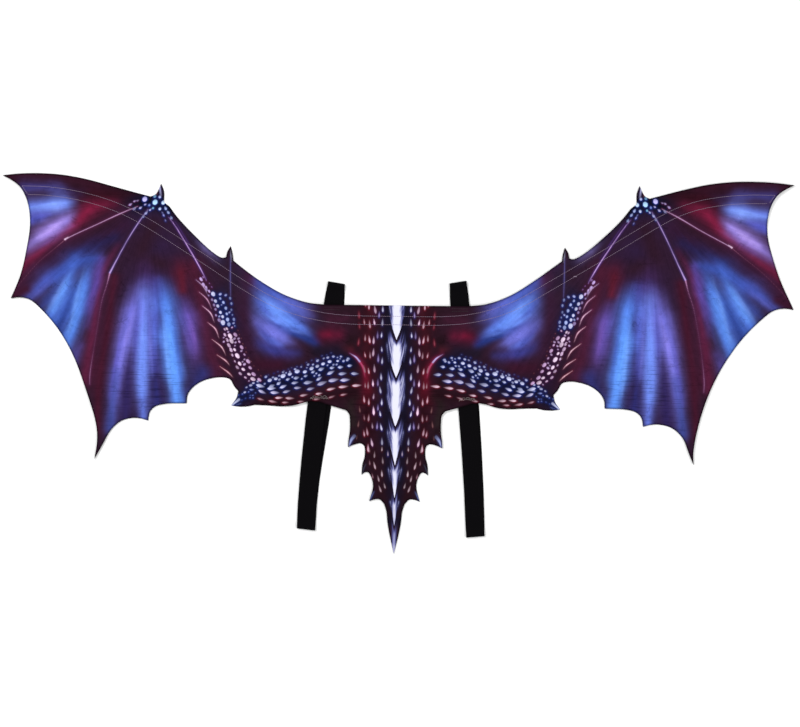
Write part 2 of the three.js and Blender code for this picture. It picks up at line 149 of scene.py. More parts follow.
# Its ripples, as in the model: across, down, the turn in degrees, length, width and height
RIPPLES = [
    (-0.97, 0.03, 20, 0.12, 0.067, 1),
    (0.97, 0.04, -25, 0.12, 0.067, 0.85),
    (-0.86, 0.24, 35, 0.2, 0.056, 0.85),
    (0.88, 0.22, -30, 0.19, 0.059, 0.75),
    (-0.74, 0.5, 68, 0.23, 0.051, 0.97),
    (0.73, 0.48, -66, 0.23, 0.053, 0.85),
    (-0.755, 0.72, 80, 0.08, 0.04, 0.7),
    (0.755, 0.73, -80, 0.08, 0.04, 0.85),
    (-0.56, 0.42, 82, 0.17, 0.053, 0.75),
    (0.55, 0.44, -80, 0.17, 0.056, 0.85),
    (-0.31, 0.47, -12, 0.12, 0.053, 0.45),
    (0.33, 0.46, 10, 0.12, 0.053, 0.5),
    (-0.03, 0.78, 84, 0.16, 0.04, 0.63),
    (0.04, 0.62, 88, 0.13, 0.045, 0.5),
]

# Each strap as it lies: under and over are shares of STRAP_STANCE, for the layer on the surface and
# the one below the sheet, and along runs from 0 at the top fold to 1 at the bottom fold.
STRAPS = [
    {
        "name": "left_strap",
        "side": -1,
        "along": [0, 0.1, 0.3, 0.56, 0.64, 0.72, 0.8, 0.9, 1],
        "under": [1, 1.03, 1.12, 1.25, 1.3, 1.35, 1.395, 1.435, 1.45],
        "over": [1, 1.055, 1.2, 1.325, 1.355, 1.385, 1.41, 1.435, 1.45],
        "higher": 0,
        "top_turn": -7,
        "bottom_turn": -5,
    },
    {
        "name": "right_strap",
        "side": 1,
        "along": [0, 0.1, 0.5, 0.66, 0.82, 1],
        "under": [1, 1.04, 1.22, 1.27, 1.31, 1.34],
        "over": [1, 1.04, 1.19, 1.25, 1.3, 1.34],
        "higher": 0.004,
        "top_turn": 7,
        "bottom_turn": 4,
    },
]

# The print's soft colours, painted one over the other, each row a brush stroke: its places in u and
# in v, how far its colour reaches to each side, how much it covers, and its colour. The reach and
# the cover run from one end of the stroke to the other.
GROUND = (48, 26, 40)
STROKES = [
    # The membrane between the body and the thumb
    ([60, 180], [330, 330], [90, 90], 1, (50, 25, 40)),
    ([45, 75], [312, 318], [12, 14], 0.8, (40, 22, 33)),
    ([58, 80], [348, 352], [14, 9], 0.9, (31, 23, 38)),
    ([88, 120, 152], [304, 290, 264], [8, 10, 8], [0.2, 0.9, 0.8], (74, 86, 180)),
    ([100, 118, 132], [322, 328, 326], [15, 20, 14], [0.5, 0.8, 0.5], (60, 66, 150)),
    ([78, 92, 110], [322, 313, 301], [6, 9, 9], [0.1, 0.7, 0.8], (98, 106, 196)),
    ([142, 130, 112, 94, 78], [288, 304, 319, 330, 337], [13, 18, 13, 8, 4], [0.4, 0.9, 0.95, 0.85, 0],
     (86, 116, 216)),
    ([132, 121, 109, 92], [303, 314, 322, 330], [9, 9, 7, 5], [0.2, 0.85, 0.75, 0.2], (112, 154, 244)),
    ([122, 102, 82], [329, 335, 342], [2.5, 4, 5], [0.1, 0.75, 0.8], (38, 60, 138)),
    ([139, 126, 112, 98], [323, 332, 340, 346], [9, 12, 8, 4], [0.6, 0.98, 0.9, 0.1], (116, 120, 214)),
    ([138, 120, 98], [345, 353, 354], [8, 8, 5], [0.5, 0.8, 0.4], (62, 72, 164)),
    ([58, 72], [335, 336], [8, 7], 0.85, (96, 24, 50)),
    ([50, 66], [318, 320], [6, 8], 0.5, (80, 32, 58)),
    ([118, 104, 92], [304, 303, 306], [4, 6, 4], [0.1, 0.6, 0.2], (92, 104, 194)),
    ([136, 124, 108], [296, 306, 316], [2, 3.2, 2], [0.2, 0.6, 0.1], (128, 166, 250)),
    ([134, 120, 102, 86], [313, 322, 331, 336], [1.8, 2.6, 2.4, 1.6], [0.2, 0.65, 0.5, 0.1],
     (112, 152, 246)),
    ([133, 117, 99], [320, 327, 330], [1.6, 2.2, 1.6], [0.1, 0.55, 0.3], (52, 64, 142)),
    ([137, 125, 112], [334, 342, 346], [2, 3.2, 2], [0.2, 0.5, 0.2], (100, 130, 232)),
    ([140, 130, 121], [326, 338, 350], [2, 2.6, 2], [0.2, 0.45, 0.1], (60, 64, 148)),
    ([141, 131, 122], [300, 312, 318], [1.6, 2.2, 1.6], [0.2, 0.45, 0.1], (74, 84, 176)),
    ([159, 151, 144], [262, 274, 288], [5, 6.5, 4], [0.3, 0.75, 0.1], (98, 26, 62)),
    ([68, 73], [334, 334], [4, 3.6], [0.55, 0.3], (116, 22, 50)),
    ([151, 154, 148], [274, 320, 352], [5, 8, 8], [0.6, 0.9, 0.9], (54, 26, 48)),
    ([160, 172], [272, 290], [9, 11], 0.85, (42, 29, 50)),
    ([118, 138], [366, 366], [10, 8], 0.7, (60, 20, 40)),
    # Beside the thumb, up to the knuckle
    ([176, 196, 216], [262, 246, 224], [8, 9, 7], 0.85, (42, 31, 54)),
    ([183, 192, 204], [255, 248, 238], [6, 6, 3], [0.5, 0.8, 0.1], (128, 120, 184)),
    ([180, 200], [280, 262], [7, 7], 0.8, (50, 29, 48)),
    ([228, 262], [206, 206], [14, 14], 1, (26, 20, 38)),
    # The wing's tip, above the first finger
    ([290, 340, 400], [200, 205, 230], [26, 30, 50], 1, (46, 20, 36)),
    ([268, 300, 330], [194, 196, 190], [9, 10, 6], 0.9, (42, 14, 24)),
    ([300, 340, 396], [186, 180, 180], [6, 7, 9], 0.9, (52, 20, 36)),
    ([318, 350, 374], [196, 191, 192], [6.5, 6.5, 8], [0.3, 0.9, 0.9], (64, 58, 120)),
    ([286, 308, 324, 348, 380], [204, 211, 228, 248, 272], [8, 11, 9, 9, 9], [0.5, 0.95, 0.95, 0.85, 0.8],
     (124, 30, 62)),
    ([318, 332, 348, 372], [203, 206, 208, 212], [6, 11, 12, 12], [0, 0.9, 0.95, 0.9], (106, 130, 226)),
    ([328, 342, 356], [206, 209, 213], [4, 6, 5], [0.2, 0.8, 0.3], (128, 158, 242)),
    ([350, 360, 376], [217, 221, 226], [3, 5, 6], [0.5, 0.95, 0.9], (88, 94, 192)),
    ([320, 332, 346, 360, 378], [212, 223, 233, 242, 257], [5, 9.5, 11, 10, 6.5],
     [0.1, 0.9, 0.95, 0.9, 0.55], (148, 132, 222)),
    ([334, 346, 358], [225, 233, 241], [3, 4, 4], [0.2, 0.85, 0.5], (172, 146, 228)),
    ([330, 344, 362, 378], [205, 207, 211, 214], [1.6, 2.4, 2.2, 1.6], [0.1, 0.5, 0.4, 0.2],
     (138, 168, 246)),
    ([336, 352, 370], [216, 220, 227], [1.4, 2, 1.8], [0.1, 0.3, 0.2], (70, 74, 172)),
    ([328, 344, 362], [219, 230, 242], [1.6, 2.4, 1.8], [0.1, 0.5, 0.3], (186, 164, 236)),
    ([338, 352, 368], [237, 246, 256], [1.4, 2, 1.6], [0.1, 0.4, 0.2], (112, 84, 176)),
    ([276, 310, 345, 384], [211, 231, 254, 292], [4, 5, 5, 6], 0.75, (64, 26, 52)),
    # Between the two fingers
    ([272, 300, 340, 380], [226, 244, 262, 300], [8, 12, 14, 12], 0.95, (54, 24, 46)),
    ([284, 304, 326], [240, 250, 258], [9, 10, 8], 0.85, (40, 34, 76)),
    ([302, 322, 344], [262, 266, 281], [10, 13, 12], [0.8, 0.95, 0.9], (60, 84, 170)),
    ([308, 324, 340, 352], [278, 300, 322, 330], [10, 18, 18, 12], [0.4, 0.9, 0.9, 0.7], (62, 94, 182)),
    ([307, 313, 320, 328, 336], [262, 288, 312, 338, 364], [6, 10, 10, 9, 7], [0, 0.9, 0.95, 0.95, 0.6],
     (78, 114, 208)),
    ([311, 317, 326, 333], [274, 298, 328, 350], [4, 6, 6, 5], [0.1, 0.85, 0.8, 0.5], (96, 146, 234)),
    ([322, 331, 342, 356], [262, 286, 306, 329], [7, 10, 10, 9], [0.3, 0.85, 0.95, 0.8], (82, 120, 216)),
    ([327, 336, 348], [275, 292, 315], [3, 5, 5], [0.1, 0.85, 0.6], (106, 154, 236)),
    ([338, 354, 376], [272, 285, 304], [8, 11, 8], [0.2, 0.9, 0.75], (74, 92, 184)),
    ([322, 331, 344], [286, 308, 337], [2, 3.5, 5], [0.1, 0.6, 0.7], (44, 62, 134)),
    ([340, 352, 368], [286, 302, 320], [2, 3.5, 4], [0.1, 0.5, 0.6], (52, 66, 142)),
    ([314, 322, 331], [272, 300, 336], [1.6, 2.4, 1.8], [0.1, 0.5, 0.3], (124, 168, 244)),
    ([333, 344, 356], [280, 300, 320], [1.6, 2.2, 1.6], [0.1, 0.45, 0.2], (132, 164, 240)),
    ([346, 362, 376], [282, 296, 308], [1.6, 2.2, 1.6], [0.1, 0.45, 0.2], (104, 112, 208)),
    ([306, 311, 318], [284, 310, 344], [1.6, 2.2, 1.6], [0.1, 0.4, 0.1], (66, 84, 176)),
    ([318, 328], [350, 372], [8, 9], [0.5, 0.85], (92, 90, 182)),
    ([280, 294, 300, 306, 312], [248, 272, 300, 340, 384], [4, 5.5, 6, 7, 8], [0.4, 0.9, 0.95, 0.95, 0.9],
     (98, 32, 60)),
    ([296, 303, 311], [262, 290, 330], [5.5, 6, 5], [0.6, 0.9, 0.3], (100, 80, 172)),
    ([376, 394], [294, 304], [7, 7], 0.85, (60, 22, 42)),
    # Between the second finger and the forearm
    ([250, 240, 246], [215, 300, 420], [22, 45, 50], 1, (48, 32, 68)),
    ([246, 256, 236], [226, 256, 266], [14, 17, 14], 0.95, (48, 25, 41)),
    ([204, 197, 189, 180], [268, 300, 340, 374], [10, 9, 10, 8], 0.9, (74, 28, 50)),
    ([224, 217, 212], [254, 274, 298], [7, 9, 7], [0, 0.75, 0.3], (86, 26, 44)),
    ([217, 215], [268, 292], [5, 4.5], [0.1, 0.5], (118, 28, 42)),
    ([214, 209, 204, 201], [294, 318, 346, 364], [5, 10, 11, 8], [0, 0.85, 0.8, 0.3], (110, 88, 182)),
    ([194, 204], [376, 394], [9, 8], 0.8, (50, 54, 120)),
    ([250, 252, 250], [252, 268, 284], [6, 9, 10], [0, 0.35, 0.5], (76, 50, 112)),
    ([241, 243, 242], [284, 330, 372], [7, 7, 6], [0.4, 0.85, 0.6], (84, 88, 190)),
    ([237, 231, 227, 222, 216], [276, 304, 340, 376, 414], [6, 12, 12.5, 11, 6.5],
     [0, 0.85, 0.95, 0.95, 0.7], (86, 130, 230)),
    ([231, 227, 223, 218], [298, 335, 370, 408], [4, 8, 8, 6], [0.1, 0.85, 0.9, 0.7], (104, 160, 250)),
    ([252, 253, 254, 254, 252], [274, 308, 344, 385, 428], [4, 9, 11, 9, 7], [0, 0.85, 0.95, 0.95, 0.85],
     (106, 128, 224)),
    ([253, 254, 254], [296, 340, 396], [5, 6, 5], [0.2, 0.75, 0.5], (122, 156, 248)),
    ([258, 266, 274, 281, 286], [278, 314, 350, 390, 430], [4, 11.5, 12, 9, 6], [0, 0.9, 0.95, 0.85, 0.5],
     (118, 118, 218)),
    ([282, 287], [376, 430], [6, 7], [0.4, 0.75], (58, 74, 146)),
    ([249, 247, 244], [300, 336, 372], [1.6, 2.4, 1.8], [0.1, 0.5, 0.2], (62, 58, 138)),
    ([258, 261, 263], [300, 336, 372], [1.4, 2.2, 1.6], [0.1, 0.5, 0.2], (68, 64, 150)),
    ([263, 270, 277], [312, 340, 372], [1.6, 2.4, 2], [0.1, 0.5, 0.2], (150, 140, 232)),
    ([247, 246, 243], [316, 348, 380], [1.4, 2, 1.4], [0.1, 0.45, 0.2], (138, 148, 240)),
    ([234, 230, 226], [316, 352, 392], [1.6, 2.4, 2], [0.1, 0.5, 0.3], (132, 180, 254)),
    ([224, 219, 214], [318, 350, 384], [1.4, 2, 1.4], [0.1, 0.4, 0.2], (58, 84, 178)),
    ([208, 203, 200], [316, 338, 360], [2, 3, 2], [0.1, 0.45, 0.1], (134, 96, 186)),
    ([276, 281, 287], [334, 366, 402], [1.4, 2, 1.8], [0.1, 0.45, 0.2], (96, 90, 196)),
    ([241, 240, 237], [362, 390, 418], [3, 5, 6], [0.1, 0.85, 0.9], (50, 50, 116)),
    ([266, 269, 271], [352, 384, 424], [2, 4.5, 5.5], [0.1, 0.75, 0.8], (50, 40, 96)),
    ([283, 290, 297, 300], [280, 330, 380, 434], [5, 7, 7, 6], 0.95, (68, 24, 44)),
    # The body
    ([8, 8, 5], [300, 440, 520], [11, 10, 7], 1, (23, 19, 38)),
    ([29, 29, 22, 12], [300, 400, 460, 500], [11, 11, 8, 5], 0.95, (44, 15, 25)),
    ([24, 31], [304, 352], [6, 7], [0.5, 0.3], (84, 28, 40)),
    ([44, 44, 32], [340, 420, 450], [7, 7, 7], 0.75, (34, 17, 24)),
    ([40, 45, 42], [396, 404, 424], [5, 6, 5], 0.8, (44, 34, 36)),
    ([30, 27, 34], [374, 392, 402], [5, 7, 7], [0.75, 0.7, 0.4], (84, 18, 32)),
    ([46, 58], [350, 346], [5, 4], [0.7, 0], (92, 30, 42)),
    ([42, 30, 22], [446, 470, 498], [7, 6, 5], 0.6, (28, 21, 36)),
    ([20, 20, 15, 9], [448, 470, 490, 512], [13, 11, 8, 6], [0.4, 0.8, 0.9, 0.9], (38, 19, 28)),
    # The arm
    ([46, 66, 90, 116, 142], [362, 366, 378, 385, 388], [8, 10, 11, 10, 10], 1, (17, 19, 50)),
    ([42, 66, 92, 120, 140], [393, 397, 402, 405, 405], [7, 9, 6, 6, 5], 0.9, (38, 15, 24)),
    ([45, 38.5, 33.5, 31, 31], [352, 357.5, 365, 375, 390], [2.5, 3.2, 3.6, 3.8, 5],
     [0.2, 0.6, 0.75, 0.6, 0.3], (124, 26, 52)),
    ([150, 162], [396, 404], [9, 7], 0.95, (18, 20, 48)),
    ([150, 160, 166], [378, 354, 334], [10, 9, 8], 0.95, (38, 22, 46)),
    ([168, 174, 180], [328, 312, 298], [8, 9, 8], 0.95, (24, 28, 66)),
    # The knuckle
    ([232, 246, 262], [208, 202, 204], [9, 10, 8], 1, (14, 14, 32)),
]

# How strokes fade to the sides, and how they fray: how far, how often across and along the rays of
# the membrane, and the seed of the noise
STROKE_FADE = 1.15
STROKE_FADE_POWER = 1.7
STROKE_REACH = 3.2  # in widths, and STROKE_MARGIN in units more
STROKE_MARGIN = 4
FRAY_FULL = 6  # strokes at least this wide fray in full, and narrower ones less
FRAYS = [(1.5, 0.5, 0.7, 3), (0.8, 1.3, 1.1, 4)]
DRIFT = 2.2
DRIFT_SIZE = 17
DRIFT_SEED = 5
LATTICE = 64

# Where the rays of the outer and of the inner membrane start, in u and v
OUTER_RAYS = (250, 196)
INNER_RAYS = (215, 235)
OUTER_FROM = 186
RAY_SCALE = 40

# Thin bright lines of the print: bones, spikes and the light on the claws. Each row has the line's
# name, its places in u and in v, its half width and its light at each, its colour, and the colour
# that the ground takes on round it.
LINES = [
    ("first finger", [262, 280, 300, 325, 333], [207, 215.5, 226, 238.5, 243], [0.3, 0.5, 0.4, 0.4, 0.5],
     [0.5, 0.75, 0.65, 0.7, 0.6], (214, 168, 216), (84, 36, 68)),
    ("first finger, outer", [333, 345, 362, 380, 389], [243, 253, 267, 286, 298],
     [0.35, 0.2, 0.15, 0.15, 0.1], [0.5, 0.35, 0.3, 0.25, 0.2], (180, 112, 148), (74, 30, 54)),
    ("joint of the first finger", [330, 333.5], [240.6, 243], [0.5, 0.9], [0.6, 0.8], (228, 196, 226),
     (110, 60, 96)),
    ("second finger", [252, 262, 272, 281, 288], [210, 226, 244, 262, 276], [0.3, 0.5, 0.4, 0.5, 0.8],
     [0.5, 0.75, 0.7, 0.75, 0.9], (186, 156, 220), (66, 48, 104)),
    ("second finger, lower", [288, 291, 296, 300, 304, 307, 307], [276, 288, 304, 326, 352, 376, 388],
     [0.7, 0.3, 0.2, 0.15, 0.15, 0.35, 0.3], [0.75, 0.4, 0.3, 0.2, 0.2, 0.5, 0.35], (196, 140, 186),
     (92, 44, 84)),
    ("forearm bone", [231, 224, 213.5, 204, 197, 191], [218, 227, 243, 258, 270, 281],
     [0.25, 0.35, 0.4, 0.5, 0.5, 0.25], [0.5, 0.75, 0.85, 0.95, 0.9, 0.6], (204, 162, 228), (70, 40, 106)),
    ("forearm bone, shade", [229, 221.5, 211.2, 202], [217, 226.5, 242.5, 256], [0.2, 0.5, 0.6, 0.3],
     [0.1, 0.3, 0.4, 0.2], (84, 50, 124), (56, 32, 86)),
    ("thumb line", [167, 167, 166.5], [256, 276, 296], [0.4, 0.5, 0.35], [0.45, 0.5, 0.4], (112, 106, 176),
     (58, 48, 92)),
    ("shoulder arc, top", [47, 40.5, 36.5], [353, 357, 361.5], [0.2, 0.7, 0.9], [0.3, 0.9, 0.6],
     (196, 178, 234), (112, 38, 84)),
    ("shoulder arc", [36.5, 33, 31], [361.5, 367.5, 377], [0.8, 0.9, 0.5], [0.6, 0.5, 0.1], (200, 84, 128),
     (128, 28, 56)),
    ("spike 1", [189.5, 194, 201.5], [296, 287.5, 281], [0.3, 0.55, 0.2], [0.15, 0.7, 0.75],
     (206, 170, 214), (84, 44, 78)),
    ("spike 2", [185.5, 190, 198.5], [310, 300.5, 293], [0.3, 0.55, 0.2], [0.15, 0.75, 0.8],
     (218, 166, 206), (92, 40, 66)),
    ("spike 3", [182.5, 186.3, 195], [324, 314.5, 307], [0.3, 0.6, 0.2], [0.15, 0.85, 0.85],
     (234, 190, 218), (92, 38, 74)),
    ("spike 4", [177.5, 181.3, 189], [340, 330.5, 324], [0.3, 0.6, 0.2], [0.15, 0.85, 0.85],
     (236, 184, 208), (92, 36, 66)),
    ("spike 5", [170.5, 175, 184.5], [357, 348.5, 341], [0.3, 0.6, 0.2], [0.15, 0.85, 0.85],
     (236, 190, 208), (90, 34, 60)),
    ("spike 6", [166.5, 171, 179.5], [367, 362, 356.5], [0.3, 0.6, 0.2], [0.15, 0.85, 0.85],
     (236, 184, 202), (92, 34, 56)),
    ("spike 7", [163, 168, 176.5], [379, 374, 368], [0.3, 0.6, 0.2], [0.15, 0.85, 0.85], (236, 182, 198),
     (92, 32, 50)),
    ("knuckle claw", [239.6, 240.6, 241.3], [196, 189, 182], [1.0, 0.8, 0.3], [0.2, 0.8, 0.8],
     (170, 170, 214), (50, 44, 84)),
    ("knuckle claw, back", [243.6, 243], [195, 189], [0.5, 0.2], [0.2, 0.5], (190, 110, 120),
     (50, 36, 60)),
    ("thumb claw", [165.8, 166.8, 167.4], [262, 256, 250], [0.5, 0.8, 0.3], [0.1, 0.45, 0.3],
     (150, 150, 178), (30, 28, 44)),
    ("elbow claw", [157, 163.5], [401, 406.5], [1.3, 0.4], [0.4, 0.95], (210, 216, 244), (60, 74, 150)),
    ("elbow claw, side", [155, 159.5], [405, 406.5], [0.5, 0.2], [0.2, 0.6], (120, 140, 210),
     (40, 50, 110)),
    ("first tail spike", [41, 44, 46], [436, 440, 446], [1.6, 1.2, 0.3], [0.2, 0.75, 0.9], (158, 166, 216),
     (60, 60, 110)),
    ("second tail spike", [29, 31, 32.5], [464, 468, 474], [0.6, 0.6, 0.3], [0.1, 0.25, 0.3],
     (96, 104, 130), (30, 28, 40)),
    ("third tail spike", [20.5, 22.5, 24.5], [491, 495, 500], [0.8, 0.7, 0.3], [0.1, 0.5, 0.7],
     (110, 124, 186), (34, 34, 70)),
]

# The colour that the ground takes on round a bright scale
NAVY_GLOW = (50, 42, 104)
BLUE_GLOW = (30, 46, 124)
WINE_GLOW = (76, 28, 70)
RED_GLOW = (112, 26, 44)
DULL_GLOW = (66, 26, 34)

# The large scales of the knuckle: u, v, width, colour and light
SPOTS = [
    (237.0, 203.0, 4.2, (196, 220, 250), 0.95),
    (245.2, 202.6, 5.4, (180, 220, 252), 1.0),
    (255.4, 199.6, 5.2, (196, 190, 244), 0.95),
    (240.6, 197.2, 3.0, (186, 196, 244), 0.8),
    (245.6, 196.6, 3.2, (120, 170, 200), 0.6),
    (250.8, 205.6, 2.6, (130, 150, 220), 0.7),
    (240.2, 209.4, 3.0, (196, 210, 246), 0.85),
    (247.0, 208.6, 2.4, (130, 190, 220), 0.7),
]

# Rows of printed scales. Each scale shows as a spot of light: a drop with its bright head forwards
# along the row, an almond, or a round one. gap is from one scale to the next, start is where on the
# row the first one lies, head and length are a scale's width and length, and turn its lean in degrees.
ScaleRow = namedtuple("ScaleRow", "name form u v gap start head length turn colour light glow")
SCALE_ROWS = [
    ("body 1", "drop", [14, 14.5, 14.8, 13], [304, 350, 420, 446], 13.5, 3, 1.9, 9.0, 3, (222, 220, 250),
     0.85, NAVY_GLOW),
    ("body 2", "drop", [18.5, 18.5, 18], [300, 350, 440], 22, 13, 1.8, 9.5, 4, (190, 166, 232), 0.75,
     NAVY_GLOW),
    ("body 3", "drop", [22, 22, 23, 22], [300, 350, 430, 448], 15, 8, 2.2, 10, 3, (242, 206, 232), 0.9,
     WINE_GLOW),
    ("body 4", "drop", [27, 26.5, 28, 27], [302, 350, 430, 448], 15, 4, 1.8, 9, 2, (236, 196, 218), 0.7,
     RED_GLOW),
    ("body 5", "drop", [32, 31.5, 32, 31], [298, 345, 430, 446], 16.5, 5, 1.8, 9, 4, (230, 186, 206), 0.65,
     RED_GLOW),
    ("body 6", "drop", [37.5, 37, 38.5], [308, 330, 350], 13, 6, 1.5, 8.5, 0, (176, 84, 104), 0.4,
     RED_GLOW),
    ("body 7", "drop", [37, 36, 38], [404, 420, 440], 13, 4, 1.4, 8, 0, (176, 124, 128), 0.4, DULL_GLOW),
    ("tail 1", "drop", [12.5, 13, 12, 9.5], [444, 462, 478, 496], 13.5, 4, 1.7, 8.5, 0, (224, 200, 216),
     0.6, DULL_GLOW),
    ("tail 2", "drop", [20, 20.5, 17, 13.5], [446, 460, 478, 494], 12.5, 7, 1.7, 9, 0, (222, 192, 208),
     0.55, DULL_GLOW),
    ("tail 3", "drop", [27, 25.5, 21], [446, 462, 484], 12, 3, 1.5, 7.5, 0, (188, 142, 160), 0.4,
     DULL_GLOW),
    ("tail 4", "drop", [8, 8.5], [450, 462], 14, 3, 1.6, 8.5, 0, (216, 196, 220), 0.6, NAVY_GLOW),
    ("arm 0", "round", [64, 76, 88, 100, 114, 130], [353.5, 357, 362.5, 367, 371.5, 376], 5.2, 1, 1.1, 1.5,
     0, (130, 128, 160), 0.4, BLUE_GLOW),
    ("arm 1", "round", [48, 58, 66, 76, 86, 98, 112, 126], [358, 356, 357, 360, 366.5, 369, 373.5, 379],
     6.0, 1, 2.1, 2.8, 0, (196, 200, 240), 0.6, BLUE_GLOW),
    ("arm 2", "round", [46, 57, 68, 80, 92, 104, 118, 130],
     [361, 360.5, 362.5, 366.5, 372, 373.5, 379, 383], 7.2, 4, 3.3, 4.4, 6, (210, 214, 248), 0.82,
     BLUE_GLOW),
    ("arm 3", "almond", [43, 55, 66, 75, 84, 96, 110, 124], [366, 366.5, 367.5, 369, 374, 377, 381, 386],
     9.0, 3, 2.9, 6.6, 7, (202, 208, 246), 0.78, BLUE_GLOW),
    ("arm 4", "almond", [38, 52, 64, 76, 88, 100, 114, 128, 138],
     [374, 373, 373.2, 378, 382.4, 383, 388, 388.6, 385], 11.6, 3, 3.1, 9.8, 5, (208, 210, 246), 0.82,
     BLUE_GLOW),
    ("arm 5", "almond", [48, 62, 74, 86, 100, 114, 128, 138],
     [380, 379.6, 384, 389, 389.6, 393.4, 393.6, 390], 12.8, 2, 3.1, 10.8, 2, (212, 206, 242), 0.8,
     BLUE_GLOW),
    ("arm 6", "almond", [36, 50, 62, 76, 90, 106, 122], [386, 387, 388.6, 394, 396, 398.4, 398.6], 13.4, 3,
     2.3, 10, 1, (240, 208, 228), 0.72, RED_GLOW),
    ("arm 7", "almond", [46, 58, 72, 88, 104, 122, 138], [393, 395, 399, 402, 404, 403.6, 400], 14, 6, 1.9,
     9, -3, (226, 184, 202), 0.52, RED_GLOW),
    ("elbow 1", "round", [137, 143, 148, 153], [383, 384, 388, 394], 4.8, 1, 2.3, 3.4, -20,
     (206, 208, 244), 0.7, BLUE_GLOW),
    ("elbow 2", "almond", [134, 142, 149], [389, 389.6, 392], 7.4, 3, 1.7, 5.4, -14, (150, 160, 220), 0.7,
     BLUE_GLOW),
    ("elbow 3", "round", [144, 150, 156], [396, 399, 403], 4.6, 2, 1.3, 2.0, 0, (96, 116, 196), 0.5,
     BLUE_GLOW),
    ("forearm 0", "round", [134, 141, 147, 152, 157, 161], [378, 368, 358, 349, 338, 327], 5.0, 2, 1.2,
     1.8, 0, (150, 90, 110), 0.45, DULL_GLOW),
    ("forearm 1", "round", [135, 142, 148, 153, 158, 163], [383, 374, 364, 354, 342, 330], 7.0, 3, 2.8,
     4.4, 16, (216, 178, 224), 0.8, WINE_GLOW),
    ("forearm 2", "round", [140, 149, 156, 161, 165, 169], [383, 375, 365, 354, 342, 330], 7.6, 3, 3.2,
     5.0, 14, (238, 212, 238), 1, WINE_GLOW),
    ("forearm 3", "round", [150, 157, 162, 166, 170, 173], [381, 372, 361, 350, 339, 329], 6.2, 2, 2.4,
     4.2, 14, (222, 190, 226), 0.75, WINE_GLOW),
    ("forearm 4", "round", [157, 163, 168, 172, 176], [374, 362, 350, 338, 327], 5.2, 3, 1.3, 1.9, 0,
     (120, 80, 92), 0.4, DULL_GLOW),
    ("upper forearm 0", "round", [162, 165, 166.5, 167.5], [328, 316, 304, 293], 5.4, 2, 2.0, 2.9, 0,
     (150, 160, 206), 0.65, BLUE_GLOW),
    ("upper forearm 1", "round", [168, 170.5, 173.5, 177], [327, 316, 305, 297], 5.8, 1, 3.7, 4.6, 0,
     (176, 190, 240), 0.85, BLUE_GLOW),
    ("upper forearm 2", "round", [172.5, 176, 180, 183, 186], [326, 315, 305, 299, 294], 6.6, 2, 4.1, 5.0,
     0, (214, 216, 250), 0.95, BLUE_GLOW),
    ("upper forearm 3", "round", [178, 182.5, 187, 192], [321, 309, 298.5, 290], 5.4, 0, 2.7, 3.6, 0,
     (176, 156, 214), 0.75, WINE_GLOW),
    ("upper forearm 4", "round", [188, 192, 197], [294, 287, 280], 4.6, 1, 2.3, 4.0, 0, (206, 176, 236),
     0.85, WINE_GLOW),
    ("upper forearm 5", "round", [185, 189, 194], [291, 284, 278], 4.4, 3, 1.4, 2.4, 0, (150, 110, 180),
     0.6, WINE_GLOW),
    ("knuckle 1", "drop", [235, 231, 227], [207, 214, 221], 4.9, 2, 2.5, 5.4, 0, (180, 196, 244), 0.8,
     BLUE_GLOW),
    ("knuckle 2", "drop", [239, 235.5, 232], [212, 217, 223], 4.7, 1, 2.1, 5.0, 0, (160, 160, 226), 0.7,
     BLUE_GLOW),
    ("knuckle 3", "drop", [249, 253, 257.5], [209, 213, 218.5], 4.6, 1, 2.3, 5.0, 0, (190, 190, 240), 0.8,
     BLUE_GLOW),
    ("knuckle 4", "drop", [254, 259, 266], [205, 207.5, 211], 4.7, 1, 2.6, 5.4, 0, (196, 190, 236), 0.8,
     BLUE_GLOW),
    ("knuckle 5", "drop", [260.5, 266, 272], [199.5, 202.5, 207], 4.6, 1, 2.3, 5.2, 0, (176, 156, 210),
     0.7, WINE_GLOW),
]

# The width and light of a scale of each form from its tail to its head, and how much its size and
# its light vary
SPOT_AHEAD = (0.4, 0.92)
SPOT_SHAPE = (0.92, 1.05)  # width and length of a spot as shares of its size
FORMS = {
    "drop": {
        "width": [0.04, 0.2, 0.38, 0.56, 0.75, 0.91, 1.0, 0.86, 0.35],
        "light": [0.1, 0.35, 0.55, 0.7, 0.82, 0.92, 1.0, 1.0, 1.0],
        "size": [0.72, 1.12],
        "bright": [0.35, 1.1],
    },
    "almond": {
        "width": [0.04, 0.24, 0.46, 0.67, 0.86, 0.98, 0.96, 0.7, 0.2],
        "light": [0.0, 0.16, 0.32, 0.48, 0.64, 0.8, 0.95, 1.0, 0.95],
        "size": [0.78, 1.14],
        "bright": [0.62, 1.1],
    },
    "round": {
        "width": [0.8, 0.97, 1.0, 0.97, 0.85],
        "light": [0.8, 0.88, 0.95, 1.0, 1.0],
        "size": [0.6, 1.22],
        "bright": [0.6, 1.08],
    },
}
SCALE_SEED = 11
SCALE_WANDER = 1.0
SCALE_GAPS = (0.85, 1.15)
SCALE_TURN = 8
SCALE_LEAN = 0.42  # how much lighter a scale is on its lower side

